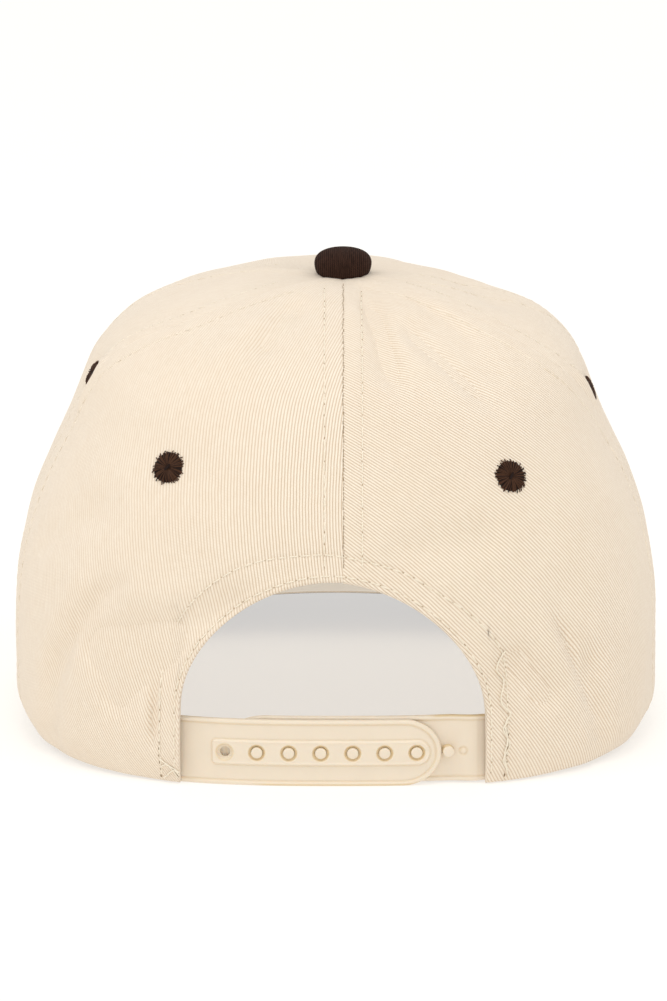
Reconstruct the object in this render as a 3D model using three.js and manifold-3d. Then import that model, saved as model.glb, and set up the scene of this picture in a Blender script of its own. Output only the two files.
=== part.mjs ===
// A five-panel cotton cap with a plastic snap strap, standing on its rim.
// Millimetres, +Z up. The brim points along +Y and the strap faces -Y.
import * as THREE from "three";
import { mergeVertices } from "three/addons/utils/BufferGeometryUtils.js";
import Module from "manifold-3d";

const wasm = await Module();
wasm.setup();

// Cloth walls and the clearance between neighbouring pieces
const WALL = 1.6;
const GAP = 0.3;

// The crown is lofted through level sections, each a superellipse in plan.
// The level runs from 0 at the rim to 1 at the top, evenly along the cloth.
const CROWN_COLUMNS = ["level", "height", "halfWidth", "back", "front", "squareness"];
const CROWN = [
  [0.0, 0.5, 95.0, 85.0, 86.0, 2.7],
  [0.035, 7.0, 98.0, 85.6, 86.0, 2.75],
  [0.07, 13.5, 98.5, 86.0, 86.0, 2.75],
  [0.15, 29.0, 98.6, 86.2, 86.0, 2.7],
  [0.27, 52.0, 97.2, 85.5, 84.5, 2.6],
  [0.39, 76.0, 90.8, 82.0, 82.0, 2.5],
  [0.5, 96.5, 81.6, 75.0, 78.0, 2.45],
  [0.59, 112.5, 75.0, 66.5, 73.0, 2.4],
  [0.67, 122.5, 66.6, 57.0, 69.0, 2.3],
  [0.76, 129.8, 54.0, 45.0, 59.0, 2.2],
  [0.85, 134.6, 39.0, 32.0, 46.0, 2.1],
  [0.93, 137.2, 23.0, 17.0, 28.0, 2.0],
  [1.0, 138.0, 0.0, 0.0, 0.0, 2.0],
];
const SIDE_LIFT = 3.0;
const FRONT_LIFT = 14.0;
const LIFT_ENDS_AT = 0.5;

// The centre seam and the button stand a little to the right of the middle
const SEAM_X = 2.2;
const TOP_SHIFT_FROM = 0.7;
const TOP_SHIFT_TO = 0.97;

// Where the panels meet: degrees from centre back, at each level
const SEAM_COLUMNS = ["level", "backLeft", "backRight", "frontLeft", "frontRight"];
const SEAMS = [
  [0.0, 78, 78, 130, 130],
  [0.25, 78, 78, 124, 124],
  [0.5, 77, 77, 115, 113],
  [0.6, 72, 67, 112, 106],
  [0.68, 65, 60, 112, 102],
  [0.76, 57, 56, 114, 98],
  [0.85, 53, 54, 118, 92],
  [0.93, 50, 48, 121, 85],
  [1.0, 50, 45, 120, 84],
];

// Soft valleys in the cloth, each from one azimuth and level to another
const FOLD_COLUMNS = ["fromDeg", "fromLevel", "toDeg", "toLevel", "width", "depth"];
const FOLDS = [
  [26, 0.93, 14, 0.66, 5, 1.2],
  [37, 0.78, 42, 0.64, 6, 1.2],
  [-17, 0.82, -16, 0.65, 7, 0.8],
  [-45, 0.29, -56, 0.16, 6, 1.4],
  [-56, 0.16, -58, 0.04, 6, 1.6],
  [44, 0.29, 49, 0.17, 6, 1.2],
  [49, 0.17, 52, 0.04, 5, 1.8],
  [-40, 0.25, -26, 0.31, 9, 1.2],
  [-34, 0.18, -34, 0.13, 7, 0.9],
  [32, 0.19, 32, 0.13, 7, 0.9],
  [84, 0.8, 96, 0.84, 11, 2.0],
  [142, 0.82, 126, 0.765, 13, 2.5],
];

// The half-moon opening over the strap
const ARCH_X = -0.9;
const ARCH_HALF_WIDTH = 45;
const ARCH_SPRING = 23;
const ARCH_RISE = 39.9;
const ARCH_SQUARENESS = 1.83;
const ARCH_TILT = 0.023;
const ARCH_STEPS = 24;

// Embroidered eyelets: azimuth and level of each one's centre
const EYELET_COLUMNS = ["azimuth", "level"];
const EYELETS = {
  eyelet_back_left: [-36.7, 0.484],
  eyelet_back_right: [37.8, 0.47],
  eyelet_side_left: [-79.5, 0.585],
  eyelet_side_right: [82, 0.545],
};
const EYELET_HOLE_R = 2.5;
const EYELET_NECK_R = 2.1;
const EYELET_BORE_R = 1.1;
const EYELET_R = 5.3;
const EYELET_THICK = 0.7;
const EYELET_LIFT = 0.4;

// Cloth-covered top button
const BUTTON_R = 8.7;
const BUTTON_HEIGHT = 7.8;
const BUTTON_BASE_R = 6.4;
const BUTTON_NECK_R = 2.5;
const BUTTON_NECK = 3.2;

// Brim: a bent board that leaves the front of the rim
const BRIM_THICK = 2.6;
const BRIM_HALF_SPAN = 56;
const BRIM_SEAT_LEVEL = 0.02;
const BRIM_SEAT_RISE = 1.5;
const BRIM_CENTRE_Y = 70;
const BRIM_HALF_WIDTH = 88.5;
const BRIM_DEPTH = 84.2;
const BRIM_BACK_DEPTH = 60;
const BRIM_SQUARENESS = 2.4;
const BRIM_CROWNING = 1.2;
const BRIM_COLUMNS = ["angle", "height"];
const BRIM_EDGE = [
  [0, 15.0],
  [30, 12.0],
  [60, 5.2],
  [80, 2.48],
  [99, 9.0],
];

// Snap strap: two halves that overlap behind the head
const STRAP_HEIGHT = 20.4;
const STRAP_THICK = 1.6;
const STRAP_CENTRE_X = -0.7;
const STRAP_INSET = WALL + GAP + 0.2;
const STRAP_REACH = 52.5;
const STRAP_STEPS = 14;
const STRAP_END_X = 32.1;
const STRAP_END_ROUND = 11.3;
const INNER_END_X = -33.2;
const INNER_RAISE = 0.6;
const INNER_JOG_FROM = 33;
const INNER_JOG_TO = 43;
const HOLE_COUNT = 7;
const HOLE_PITCH = 9.5;
const FIRST_HOLE_X = -32.3;
const HOLE_Z = 10.2;
const HOLE_R = 2.05;
const PEG_R = 1.7;
const PEG_COUNT = 7;
const PLATE_FROM_X = -36.1;
const PLATE_TO_X = 28.7;
const PLATE_HEIGHT = 7.6;
const PLATE_RAISE = 0.4;
const ROUND_SIDES = 12;

// The whole cap is centred over the origin
const CROWN_CENTRE_Y = -34.85;

const CREAM_CLOTH = { color: 0xf0e3cb, roughness: 0.92, metalness: 0 };
const BROWN_CLOTH = { color: 0x3a2820, roughness: 0.9, metalness: 0 };
const BROWN_THREAD = { color: 0x483023, roughness: 0.75, metalness: 0 };
const CREAM_PLASTIC = { color: 0xead9c0, roughness: 0.45, metalness: 0 };

const radians = THREE.MathUtils.degToRad;
const smooth = THREE.MathUtils.smoothstep;

// Natural cubic spline through one named column of a table
function splineColumn(columns, rows, name) {
  const xs = rows.map((row) => row[0]);
  const ys = rows.map((row) => row[columns.indexOf(name)]);
  const last = xs.length - 1;
  const bend = new Array(last + 1).fill(0);
  const share = new Array(last + 1).fill(0);
  for (let i = 1; i < last; i++) {
    const before = xs[i] - xs[i - 1];
    const after = xs[i + 1] - xs[i];
    const pivot = 2 * (before + after) - before * share[i - 1];
    const slope = (ys[i + 1] - ys[i]) / after - (ys[i] - ys[i - 1]) / before;
    share[i] = after / pivot;
    bend[i] = (6 * slope - before * bend[i - 1]) / pivot;
  }
  for (let i = last - 1; i > 0; i--) bend[i] -= share[i] * bend[i + 1];
  return (x) => {
    let i = 0;
    while (i < last - 1 && x > xs[i + 1]) i++;
    const span = xs[i + 1] - xs[i];
    const a = (xs[i + 1] - x) / span;
    const b = (x - xs[i]) / span;
    const curve = ((a ** 3 - a) * bend[i] + (b ** 3 - b) * bend[i + 1]) * (span * span) / 6;
    return a * ys[i] + b * ys[i + 1] + curve;
  };
}

const crown = {};
for (const name of CROWN_COLUMNS.slice(1)) crown[name] = splineColumn(CROWN_COLUMNS, CROWN, name);
const seam = {};
for (const name of SEAM_COLUMNS.slice(1)) seam[name] = splineColumn(SEAM_COLUMNS, SEAMS, name);

function topShift(level) {
  return SEAM_X * smooth(level, TOP_SHIFT_FROM, TOP_SHIFT_TO);
}

// A point on the crown without its folds. The azimuth is 0 at centre back.
function smoothCrownPoint(azimuth, level) {
  const side = Math.sin(azimuth);
  const back = Math.cos(azimuth);
  const halfWidth = Math.max(crown.halfWidth(level), 1e-3);
  const depth = Math.max(back > 0 ? crown.back(level) : crown.front(level), 1e-3);
  const power = crown.squareness(level);
  const sum = (Math.abs(side) / halfWidth) ** power + (Math.abs(back) / depth) ** power;
  const radius = sum ** (-1 / power);
  const frontness = (1 - back) / 2;
  const low = Math.max(1 - level / LIFT_ENDS_AT, 0) ** 2;
  const lift = (FRONT_LIFT * frontness ** 3 + SIDE_LIFT * side ** 4) * low;
  return new THREE.Vector3(radius * side + topShift(level), -radius * back, crown.height(level) + lift);
}

function smoothCrownNormal(azimuth, level) {
  const step = 1e-3;
  const right = smoothCrownPoint(azimuth + step, level).sub(smoothCrownPoint(azimuth - step, level));
  const top = Math.min(level + step, 1);
  const up = smoothCrownPoint(azimuth, top).sub(smoothCrownPoint(azimuth, level - step));
  return right.cross(up).normalize();
}

const folds = FOLDS.map((row) => {
  const fold = Object.fromEntries(FOLD_COLUMNS.map((name, i) => [name, row[i]]));
  const from = smoothCrownPoint(radians(fold.fromDeg), fold.fromLevel);
  const to = smoothCrownPoint(radians(fold.toDeg), fold.toLevel);
  return { ...fold, line: new THREE.Line3(from, to) };
});

function crownPoint(azimuth, level) {
  const point = smoothCrownPoint(azimuth, level);
  const nearest = new THREE.Vector3();
  let sink = 0;
  for (const fold of folds) {
    fold.line.closestPointToPoint(point, true, nearest);
    sink += fold.depth * Math.exp(-((point.distanceTo(nearest) / fold.width) ** 2));
  }
  return point.addScaledVector(smoothCrownNormal(azimuth, level), -sink);
}

function crownNormal(azimuth, level) {
  const step = 4e-3;
  const right = crownPoint(azimuth + step, level).sub(crownPoint(azimuth - step, level));
  const top = Math.min(level + step, 0.998);
  const up = crownPoint(azimuth, top).sub(crownPoint(azimuth, Math.max(level - step, 0)));
  return right.cross(up).normalize();
}

// A closed wall between two grids of points: grid[row][column], seen from outside
// with columns to the right and rows upwards
function wallGeometry(outer, inner) {
  const rows = outer.length - 1;
  const columns = outer[0].length - 1;
  const points = [...outer.flat(), ...inner.flat()];
  const out = (j, i) => j * (columns + 1) + i;
  const inn = (j, i) => out(j, i) + outer.flat().length;
  const faces = [];
  const quad = (a, b, c, d) => faces.push(a, b, c, a, c, d);
  for (let j = 0; j < rows; j++) {
    for (let i = 0; i < columns; i++) {
      quad(out(j, i), out(j, i + 1), out(j + 1, i + 1), out(j + 1, i));
      quad(inn(j, i), inn(j + 1, i), inn(j + 1, i + 1), inn(j, i + 1));
    }
    quad(out(j + 1, columns), out(j, columns), inn(j, columns), inn(j + 1, columns));
    quad(out(j, 0), out(j + 1, 0), inn(j + 1, 0), inn(j, 0));
  }
  for (let i = 0; i < columns; i++) {
    quad(out(0, i + 1), out(0, i), inn(0, i), inn(0, i + 1));
    quad(out(rows, i), out(rows, i + 1), inn(rows, i + 1), inn(rows, i));
  }
  const geometry = new THREE.BufferGeometry();
  const flat = points.flatMap((point) => [point.x, point.y, point.z]);
  geometry.setAttribute("position", new THREE.Float32BufferAttribute(flat, 3));
  geometry.setIndex(faces);
  return geometry;
}

// Joins and cuts
function toSolid(geometry) {
  const bare = geometry.clone();
  bare.deleteAttribute("normal");
  bare.deleteAttribute("uv");
  const merged = mergeVertices(bare, 1e-4);
  const vertProperties = new Float32Array(merged.attributes.position.array);
  const triVerts = new Uint32Array(merged.index.array);
  return new wasm.Manifold(new wasm.Mesh({ numProp: 3, vertProperties, triVerts }));
}

function fromSolid(solid) {
  const mesh = solid.getMesh();
  const geometry = new THREE.BufferGeometry();
  geometry.setAttribute("position", new THREE.BufferAttribute(mesh.vertProperties.slice(), 3));
  geometry.setIndex(new THREE.BufferAttribute(mesh.triVerts.slice(), 1));
  return geometry;
}

// A lathe's profile may turn either way, so its faces are turned outwards here
function facingOut(geometry) {
  const position = geometry.attributes.position;
  const index = geometry.index.array;
  const corner = [new THREE.Vector3(), new THREE.Vector3(), new THREE.Vector3()];
  let volume = 0;
  for (let i = 0; i < index.length; i += 3) {
    corner.forEach((point, k) => point.fromBufferAttribute(position, index[i + k]));
    volume += corner[0].dot(corner[1].clone().cross(corner[2]));
  }
  if (volume < 0) {
    for (let i = 0; i < index.length; i += 3) [index[i], index[i + 1]] = [index[i + 1], index[i]];
  }
  return geometry;
}

function named(name, geometry, look) {
  const shown = geometry.clone();
  shown.computeVertexNormals();
  const mesh = new THREE.Mesh(shown, new THREE.MeshStandardMaterial(look));
  mesh.name = name;
  return mesh;
}

// Cloth panels of the crown

const PANEL_TOP = 0.985;
const PANEL_ROWS = 22;
const ROW_CROWDING = 1.2;

function centreSeam(level) {
  return Math.atan2(SEAM_X - topShift(level), Math.max(crown.back(level), 1));
}

// Half the gap between two panels, as an angle at this level
function halfGap(level) {
  return Math.asin(GAP / 2 / Math.max(crown.back(level), 1));
}

function panelGeometry(startSeam, endSeam, columns) {
  const outer = [];
  const inner = [];
  for (let j = 0; j <= PANEL_ROWS; j++) {
    const level = PANEL_TOP * (j / PANEL_ROWS) ** ROW_CROWDING;
    const start = startSeam(level) + halfGap(level);
    const end = endSeam(level) - halfGap(level);
    const outerRow = [];
    const innerRow = [];
    for (let i = 0; i <= columns; i++) {
      const azimuth = start + ((end - start) * i) / columns;
      const point = crownPoint(azimuth, level);
      outerRow.push(point);
      innerRow.push(point.clone().addScaledVector(crownNormal(azimuth, level), -WALL));
    }
    outer.push(outerRow);
    inner.push(innerRow);
  }
  return wallGeometry(outer, inner);
}

// Outline of the half-moon opening as seen from behind, run down past the rim
function archShape() {
  const points = [new THREE.Vector2(ARCH_X - ARCH_HALF_WIDTH, -5)];
  for (let i = 0; i <= ARCH_STEPS; i++) {
    const angle = Math.PI - (Math.PI * i) / ARCH_STEPS;
    const across = Math.cos(angle);
    const x = ARCH_HALF_WIDTH * Math.sign(across) * Math.abs(across) ** (2 / ARCH_SQUARENESS);
    const rise = ARCH_RISE * Math.sin(angle) ** (2 / ARCH_SQUARENESS);
    points.push(new THREE.Vector2(ARCH_X + x, ARCH_SPRING + rise - ARCH_TILT * x));
  }
  points.push(new THREE.Vector2(ARCH_X + ARCH_HALF_WIDTH, -5));
  return new THREE.Shape(points);
}

// Pushes an outline drawn in X and Z through the back of the cap, along Y
function throughBack(shape, nearY, farY) {
  const geometry = new THREE.ExtrudeGeometry(shape, {
    depth: nearY - farY, bevelEnabled: false, curveSegments: ROUND_SIDES,
  });
  geometry.rotateX(Math.PI / 2);
  geometry.translate(0, nearY, 0);
  return geometry;
}

function eyeletPlace(name) {
  const place = EYELETS[name];
  const azimuth = radians(place[EYELET_COLUMNS.indexOf("azimuth")]);
  const level = place[EYELET_COLUMNS.indexOf("level")];
  const point = crownPoint(azimuth, level);
  const normal = crownNormal(azimuth, level);
  const turn = new THREE.Quaternion().setFromUnitVectors(new THREE.Vector3(0, 1, 0), normal);
  return new THREE.Matrix4().compose(point, turn, new THREE.Vector3(1, 1, 1));
}

function eyeletHole(name) {
  const hole = new THREE.CylinderGeometry(EYELET_HOLE_R, EYELET_HOLE_R, 6 * WALL, ROUND_SIDES);
  return toSolid(hole.applyMatrix4(eyeletPlace(name)));
}

const backLeft = (level) => -radians(seam.backLeft(level));
const backRight = (level) => radians(seam.backRight(level));
const frontLeft = (level) => -radians(seam.frontLeft(level));
const frontRight = (level) => radians(seam.frontRight(level));
const frontLeftRound = (level) => 2 * Math.PI + frontLeft(level);

function backPanel(name, startSeam, endSeam, eyelet) {
  const archCut = toSolid(throughBack(archShape(), -40, -120));
  const panel = toSolid(panelGeometry(startSeam, endSeam, 18));
  return named(name, fromSolid(panel.subtract(archCut).subtract(eyeletHole(eyelet))), CREAM_CLOTH);
}

function sidePanel(name, startSeam, endSeam, eyelet) {
  const panel = toSolid(panelGeometry(startSeam, endSeam, 9));
  return named(name, fromSolid(panel.subtract(eyeletHole(eyelet))), CREAM_CLOTH);
}

function frontPanel() {
  return named("front_panel", panelGeometry(frontRight, frontLeftRound, 16), CREAM_CLOTH);
}

// Eyelets and button

function eyeletRing(name) {
  const top = EYELET_LIFT + EYELET_THICK;
  const profile = [
    [EYELET_BORE_R, -WALL - 0.2],
    [EYELET_NECK_R, -WALL - 0.2],
    [EYELET_NECK_R, EYELET_LIFT],
    [EYELET_R, EYELET_LIFT],
    [EYELET_R - 0.5, top],
    [EYELET_BORE_R + 0.6, top],
    [EYELET_BORE_R, top - 0.4],
    [EYELET_BORE_R, -WALL - 0.2],
  ].map(([x, y]) => new THREE.Vector2(x, y));
  const ring = mergeable(new THREE.LatheGeometry(profile, ROUND_SIDES));
  return named(name, facingOut(ring).applyMatrix4(eyeletPlace(name)), BROWN_THREAD);
}

function mergeable(geometry) {
  geometry.deleteAttribute("normal");
  geometry.deleteAttribute("uv");
  return mergeVertices(geometry, 1e-4);
}

function topButton() {
  const profile = [
    [0, -BUTTON_NECK],
    [BUTTON_NECK_R, -BUTTON_NECK],
    [BUTTON_NECK_R, 0],
    [BUTTON_BASE_R, 0],
    [BUTTON_R - 0.5, 1.6],
    [BUTTON_R, 3.4],
    [BUTTON_R - 0.6, 5.2],
    [BUTTON_R - 2.3, 6.7],
    [BUTTON_R - 5.0, 7.5],
    [0, BUTTON_HEIGHT],
  ].map(([x, y]) => new THREE.Vector2(x, y));
  const geometry = mergeable(new THREE.LatheGeometry(profile, 2 * ROUND_SIDES));
  const mesh = named("button", facingOut(geometry).rotateX(Math.PI / 2), BROWN_CLOTH);
  mesh.position.set(SEAM_X, 0, crown.height(1) + GAP);
  return mesh;
}

// Brim

function brimPoint(along, out) {
  const azimuth = Math.PI - radians(BRIM_HALF_SPAN) * along;
  const seat = smoothCrownPoint(azimuth, BRIM_SEAT_LEVEL);
  const radial = new THREE.Vector3(seat.x, seat.y, 0).normalize();
  seat.addScaledVector(radial, GAP + 0.1);
  seat.z = smoothCrownPoint(azimuth, 0).z + BRIM_SEAT_RISE;
  const lastAngle = BRIM_EDGE.at(-1)[0];
  const angle = radians(lastAngle * along);
  const side = Math.sin(angle);
  const ahead = Math.cos(angle);
  const depth = ahead > 0 ? BRIM_DEPTH : BRIM_BACK_DEPTH;
  const sum = (Math.abs(side) / BRIM_HALF_WIDTH) ** BRIM_SQUARENESS
    + (Math.abs(ahead) / depth) ** BRIM_SQUARENESS;
  const radius = sum ** (-1 / BRIM_SQUARENESS);
  const edgeHeight = splineColumn(BRIM_COLUMNS, BRIM_EDGE, "height")(lastAngle * Math.abs(along));
  const edge = new THREE.Vector3(radius * side, BRIM_CENTRE_Y + radius * ahead, edgeHeight);
  const point = seat.lerp(edge, out);
  point.z += 4 * BRIM_CROWNING * out * (1 - out) * (1 - along * along);
  return point;
}

function brim() {
  const columns = 22;
  const rows = 7;
  const top = [];
  const bottom = [];
  for (let j = 0; j <= rows; j++) {
    const topRow = [];
    for (let i = 0; i <= columns; i++) topRow.push(brimPoint(1 - (2 * i) / columns, 1 - j / rows));
    top.push(topRow);
    bottom.push(topRow.map((point) => point.clone().setZ(point.z - BRIM_THICK)));
  }
  return named("brim", facingOut(wallGeometry(top, bottom)), BROWN_CLOTH);
}

// Snap strap

// Depth of the cap's back at the rim, measured from the crown's centre
function backDepthAt(x) {
  const power = crown.squareness(0);
  return crown.back(0) * (1 - (Math.abs(x) / crown.halfWidth(0)) ** power) ** (1 / power);
}

// A bent upright strip between two insets from the back's outer face
function bentStrip(fromX, toX, insetAt, thick, lowZ, highZ) {
  const near = [];
  const far = [];
  for (let i = 0; i <= STRAP_STEPS; i++) {
    const x = fromX + ((toX - fromX) * i) / STRAP_STEPS;
    near.push(new THREE.Vector2(x, insetAt(x) - backDepthAt(x)));
    far.unshift(new THREE.Vector2(x, insetAt(x) + thick - backDepthAt(x)));
  }
  const shape = new THREE.Shape([...near, ...far]);
  const geometry = new THREE.ExtrudeGeometry(shape, { depth: highZ - lowZ, bevelEnabled: false });
  return toSolid(geometry.translate(0, 0, lowZ));
}

// Side view of a strip: square at one end and round at the other
function roundEnded(squareX, roundX, lowZ, highZ, roundLength) {
  const shape = new THREE.Shape();
  const middle = (lowZ + highZ) / 2;
  const half = (highZ - lowZ) / 2;
  const toRight = roundX > squareX;
  const bendX = toRight ? roundX - roundLength : roundX + roundLength;
  const start = toRight ? -Math.PI / 2 : Math.PI / 2;
  shape.moveTo(squareX, toRight ? lowZ : highZ);
  shape.lineTo(bendX, toRight ? lowZ : highZ);
  shape.absellipse(bendX, middle, roundLength, half, start, start + Math.PI, false);
  shape.lineTo(squareX, toRight ? highZ : lowZ);
  return shape;
}

function pegPlace(index) {
  return STRAP_CENTRE_X + FIRST_HOLE_X + HOLE_PITCH * index;
}

function withHoles(shape) {
  for (let i = 0; i < HOLE_COUNT; i++) {
    const rim = [];
    for (let k = 0; k < ROUND_SIDES; k++) {
      const angle = (-2 * Math.PI * k) / ROUND_SIDES;
      const x = pegPlace(i) + HOLE_R * Math.cos(angle);
      rim.push(new THREE.Vector2(x, HOLE_Z + HOLE_R * Math.sin(angle)));
    }
    shape.holes.push(new THREE.Path(rim));
  }
  return shape;
}

const BACK_OF_STRAPS = -60;
const IN_FRONT_OF_STRAPS = -100;

function strapWithHoles() {
  const from = STRAP_CENTRE_X - STRAP_REACH;
  const end = STRAP_CENTRE_X + STRAP_END_X;
  const outline = roundEnded(from, end, 0, STRAP_HEIGHT, STRAP_END_ROUND);
  const body = bentStrip(from - 1, end + 1, () => STRAP_INSET, STRAP_THICK, 0, STRAP_HEIGHT);
  const cut = toSolid(throughBack(withHoles(outline), BACK_OF_STRAPS, IN_FRONT_OF_STRAPS));
  const low = HOLE_Z - PLATE_HEIGHT / 2;
  const plateFrom = STRAP_CENTRE_X + PLATE_FROM_X;
  const plateTo = STRAP_CENTRE_X + PLATE_TO_X;
  const plateOutline = roundEnded(plateFrom, plateTo, low, low + PLATE_HEIGHT, PLATE_HEIGHT / 2);
  const plateInset = STRAP_INSET - PLATE_RAISE;
  const plateThick = PLATE_RAISE + STRAP_THICK / 2;
  const plateBody = bentStrip(from, end, () => plateInset, plateThick, low - 1, low + PLATE_HEIGHT + 1);
  const plateCut = toSolid(throughBack(withHoles(plateOutline), BACK_OF_STRAPS, IN_FRONT_OF_STRAPS));
  const solid = body.intersect(cut).add(plateBody.intersect(plateCut));
  return named("strap_with_holes", fromSolid(solid), CREAM_PLASTIC);
}

function strapWithPegs() {
  const from = STRAP_CENTRE_X + INNER_END_X;
  const end = STRAP_CENTRE_X + STRAP_REACH;
  const low = INNER_RAISE;
  const high = INNER_RAISE + STRAP_HEIGHT;
  const behind = STRAP_THICK + GAP;
  const jogFrom = STRAP_CENTRE_X + INNER_JOG_FROM;
  const jogTo = STRAP_CENTRE_X + INNER_JOG_TO;
  const insetAt = (x) => STRAP_INSET + behind * (1 - smooth(x, jogFrom, jogTo));
  const body = bentStrip(from - 1, end + 1, insetAt, STRAP_THICK, low, high);
  const outline = roundEnded(end, from, low, high, STRAP_END_ROUND);
  let solid = body.intersect(toSolid(throughBack(outline, BACK_OF_STRAPS, IN_FRONT_OF_STRAPS)));
  for (let i = 1; i <= PEG_COUNT; i++) {
    const x = pegPlace(i);
    const face = STRAP_INSET - PLATE_RAISE - backDepthAt(x);
    const root = insetAt(x) + STRAP_THICK / 2 - backDepthAt(x);
    const peg = new THREE.CylinderGeometry(PEG_R, PEG_R, root - face, ROUND_SIDES);
    peg.translate(x, (root + face) / 2, HOLE_Z);
    solid = solid.add(toSolid(peg));
  }
  return named("strap_with_pegs", fromSolid(solid), CREAM_PLASTIC);
}

const cap = new THREE.Group();
cap.position.set(0, CROWN_CENTRE_Y, 0);
cap.add(
  frontPanel(),
  sidePanel("side_panel_left", frontLeft, backLeft, "eyelet_side_left"),
  sidePanel("side_panel_right", backRight, frontRight, "eyelet_side_right"),
  backPanel("back_panel_left", backLeft, centreSeam, "eyelet_back_left"),
  backPanel("back_panel_right", centreSeam, backRight, "eyelet_back_right"),
  brim(),
  topButton(),
  ...Object.keys(EYELETS).map(eyeletRing),
  strapWithHoles(),
  strapWithPegs(),
);

export default cap;
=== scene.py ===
import math

import bpy
import numpy as np
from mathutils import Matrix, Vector


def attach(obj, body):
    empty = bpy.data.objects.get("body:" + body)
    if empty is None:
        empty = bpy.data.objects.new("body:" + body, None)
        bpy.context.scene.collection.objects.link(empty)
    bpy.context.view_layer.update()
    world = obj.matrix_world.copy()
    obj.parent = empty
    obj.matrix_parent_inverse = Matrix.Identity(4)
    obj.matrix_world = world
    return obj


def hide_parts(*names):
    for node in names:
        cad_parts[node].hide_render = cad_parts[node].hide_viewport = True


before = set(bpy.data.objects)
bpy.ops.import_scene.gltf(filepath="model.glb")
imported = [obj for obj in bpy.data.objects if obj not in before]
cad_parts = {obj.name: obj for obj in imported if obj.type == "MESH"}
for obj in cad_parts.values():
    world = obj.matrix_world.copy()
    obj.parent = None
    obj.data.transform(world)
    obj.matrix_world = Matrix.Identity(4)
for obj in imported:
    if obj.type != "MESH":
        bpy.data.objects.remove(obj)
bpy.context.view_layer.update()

# Camera. It stands behind the cap, a little above it, and looks at the half-moon opening and the
# strap through a long lens, so the sides hardly converge. Lengths are in millimetres, and CAP_Y is the
# crown's middle from front to back.
MM = 0.001
CAP_Y = -34.85
CAMERA_HEIGHT_DEG = 14.3
CAMERA_DISTANCE = 1684.0
CAMERA_AIM = (-0.7, CAP_Y, 66.5)
LENS = 196.07
PHOTO_SIDE = 36.0
SIGHT_END = 50

tilt = math.radians(CAMERA_HEIGHT_DEG)
camera_data = bpy.data.cameras.new("camera")
camera_data.lens = LENS
camera_data.sensor_fit = "VERTICAL"
camera_data.sensor_height = PHOTO_SIDE
camera_data.clip_end = SIGHT_END
camera = bpy.data.objects.new("camera", camera_data)
camera.location = (
    CAMERA_AIM[0] * MM,
    (CAMERA_AIM[1] - CAMERA_DISTANCE * math.cos(tilt)) * MM,
    (CAMERA_AIM[2] + CAMERA_DISTANCE * math.sin(tilt)) * MM,
)
camera.rotation_euler = (math.pi / 2 - tilt, 0, 0)
bpy.context.collection.objects.link(camera)
bpy.context.scene.camera = camera

# Front panel. One wide piece of cream cotton twill with a stiffening behind it, which keeps the
# front of the cap upright. It is sewn to both side panels and to the brim, with its edges turned in.
CREAM_CLOTH = (0.845, 0.750, 0.622)
# CREAM_GROOVE_SHADE is painted shade: the colour of the twill's grooves in place of their shadow
CREAM_GROOVE_SHADE = (0.580, 0.415, 0.258)
LINING_CLOTH = (0.985, 0.955, 0.890)
CLOTH_THICK = 1.6
RIB_PITCH = 0.85

# Sections of the crown, all in millimetres. The level runs from the rim to the top along the cloth.
CROWN_COLUMNS = ("level", "height", "half_width", "back", "front", "squareness")
CROWN = np.array([
    (0.000, 0.5, 95.0, 85.0, 86.0, 2.70),
    (0.035, 7.0, 98.0, 85.6, 86.0, 2.75),
    (0.070, 13.5, 98.5, 86.0, 86.0, 2.75),
    (0.150, 29.0, 98.6, 86.2, 86.0, 2.70),
    (0.270, 52.0, 97.2, 85.5, 84.5, 2.60),
    (0.390, 76.0, 90.8, 82.0, 82.0, 2.50),
    (0.500, 96.5, 81.6, 75.0, 78.0, 2.45),
    (0.590, 112.5, 75.0, 66.5, 73.0, 2.40),
    (0.670, 122.5, 66.6, 57.0, 69.0, 2.30),
    (0.760, 129.8, 54.0, 45.0, 59.0, 2.20),
    (0.850, 134.6, 39.0, 32.0, 46.0, 2.10),
    (0.930, 137.2, 23.0, 17.0, 28.0, 2.00),
    (1.000, 138.0, 0.0, 0.0, 0.0, 2.00),
])
SIDE_LIFT = 3.0
FRONT_LIFT = 14.0
LIFT_ENDS_AT = 0.5
SEAM_X = 2.2
TOP_SHIFT_FROM = 0.70
TOP_SHIFT_TO = 0.97
PANEL_TOP = 0.985

# Where the panels meet: degrees from centre back at each level
SEAM_COLUMNS = ("level", "back_left", "back_right", "front_left", "front_right")
SEAMS = np.array([
    (0.00, -78, 78, -130, 130),
    (0.25, -78, 78, -124, 124),
    (0.50, -77, 77, -115, 113),
    (0.60, -72, 67, -112, 106),
    (0.68, -65, 60, -112, 102),
    (0.76, -57, 56, -114, 98),
    (0.85, -53, 54, -118, 92),
    (0.93, -50, 48, -121, 85),
    (1.00, -50, 45, -120, 84),
])

# Soft valleys of the worn cloth: degrees, level, degrees, level, width and depth
FOLDS = (
    (26, 0.93, 14, 0.66, 5, 1.2),
    (37, 0.78, 42, 0.64, 6, 1.2),
    (-17, 0.82, -16, 0.65, 7, 0.8),
    (-45, 0.29, -56, 0.16, 6, 1.4),
    (-56, 0.16, -58, 0.04, 6, 1.6),
    (44, 0.29, 49, 0.17, 6, 1.2),
    (49, 0.17, 52, 0.04, 5, 1.8),
    (-40, 0.25, -26, 0.31, 9, 1.2),
    (-34, 0.18, -34, 0.13, 7, 0.9),
    (32, 0.19, 32, 0.13, 7, 0.9),
    (84, 0.80, 96, 0.84, 11, 2.0),
    (142, 0.82, 126, 0.765, 13, 2.5),
)

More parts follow.
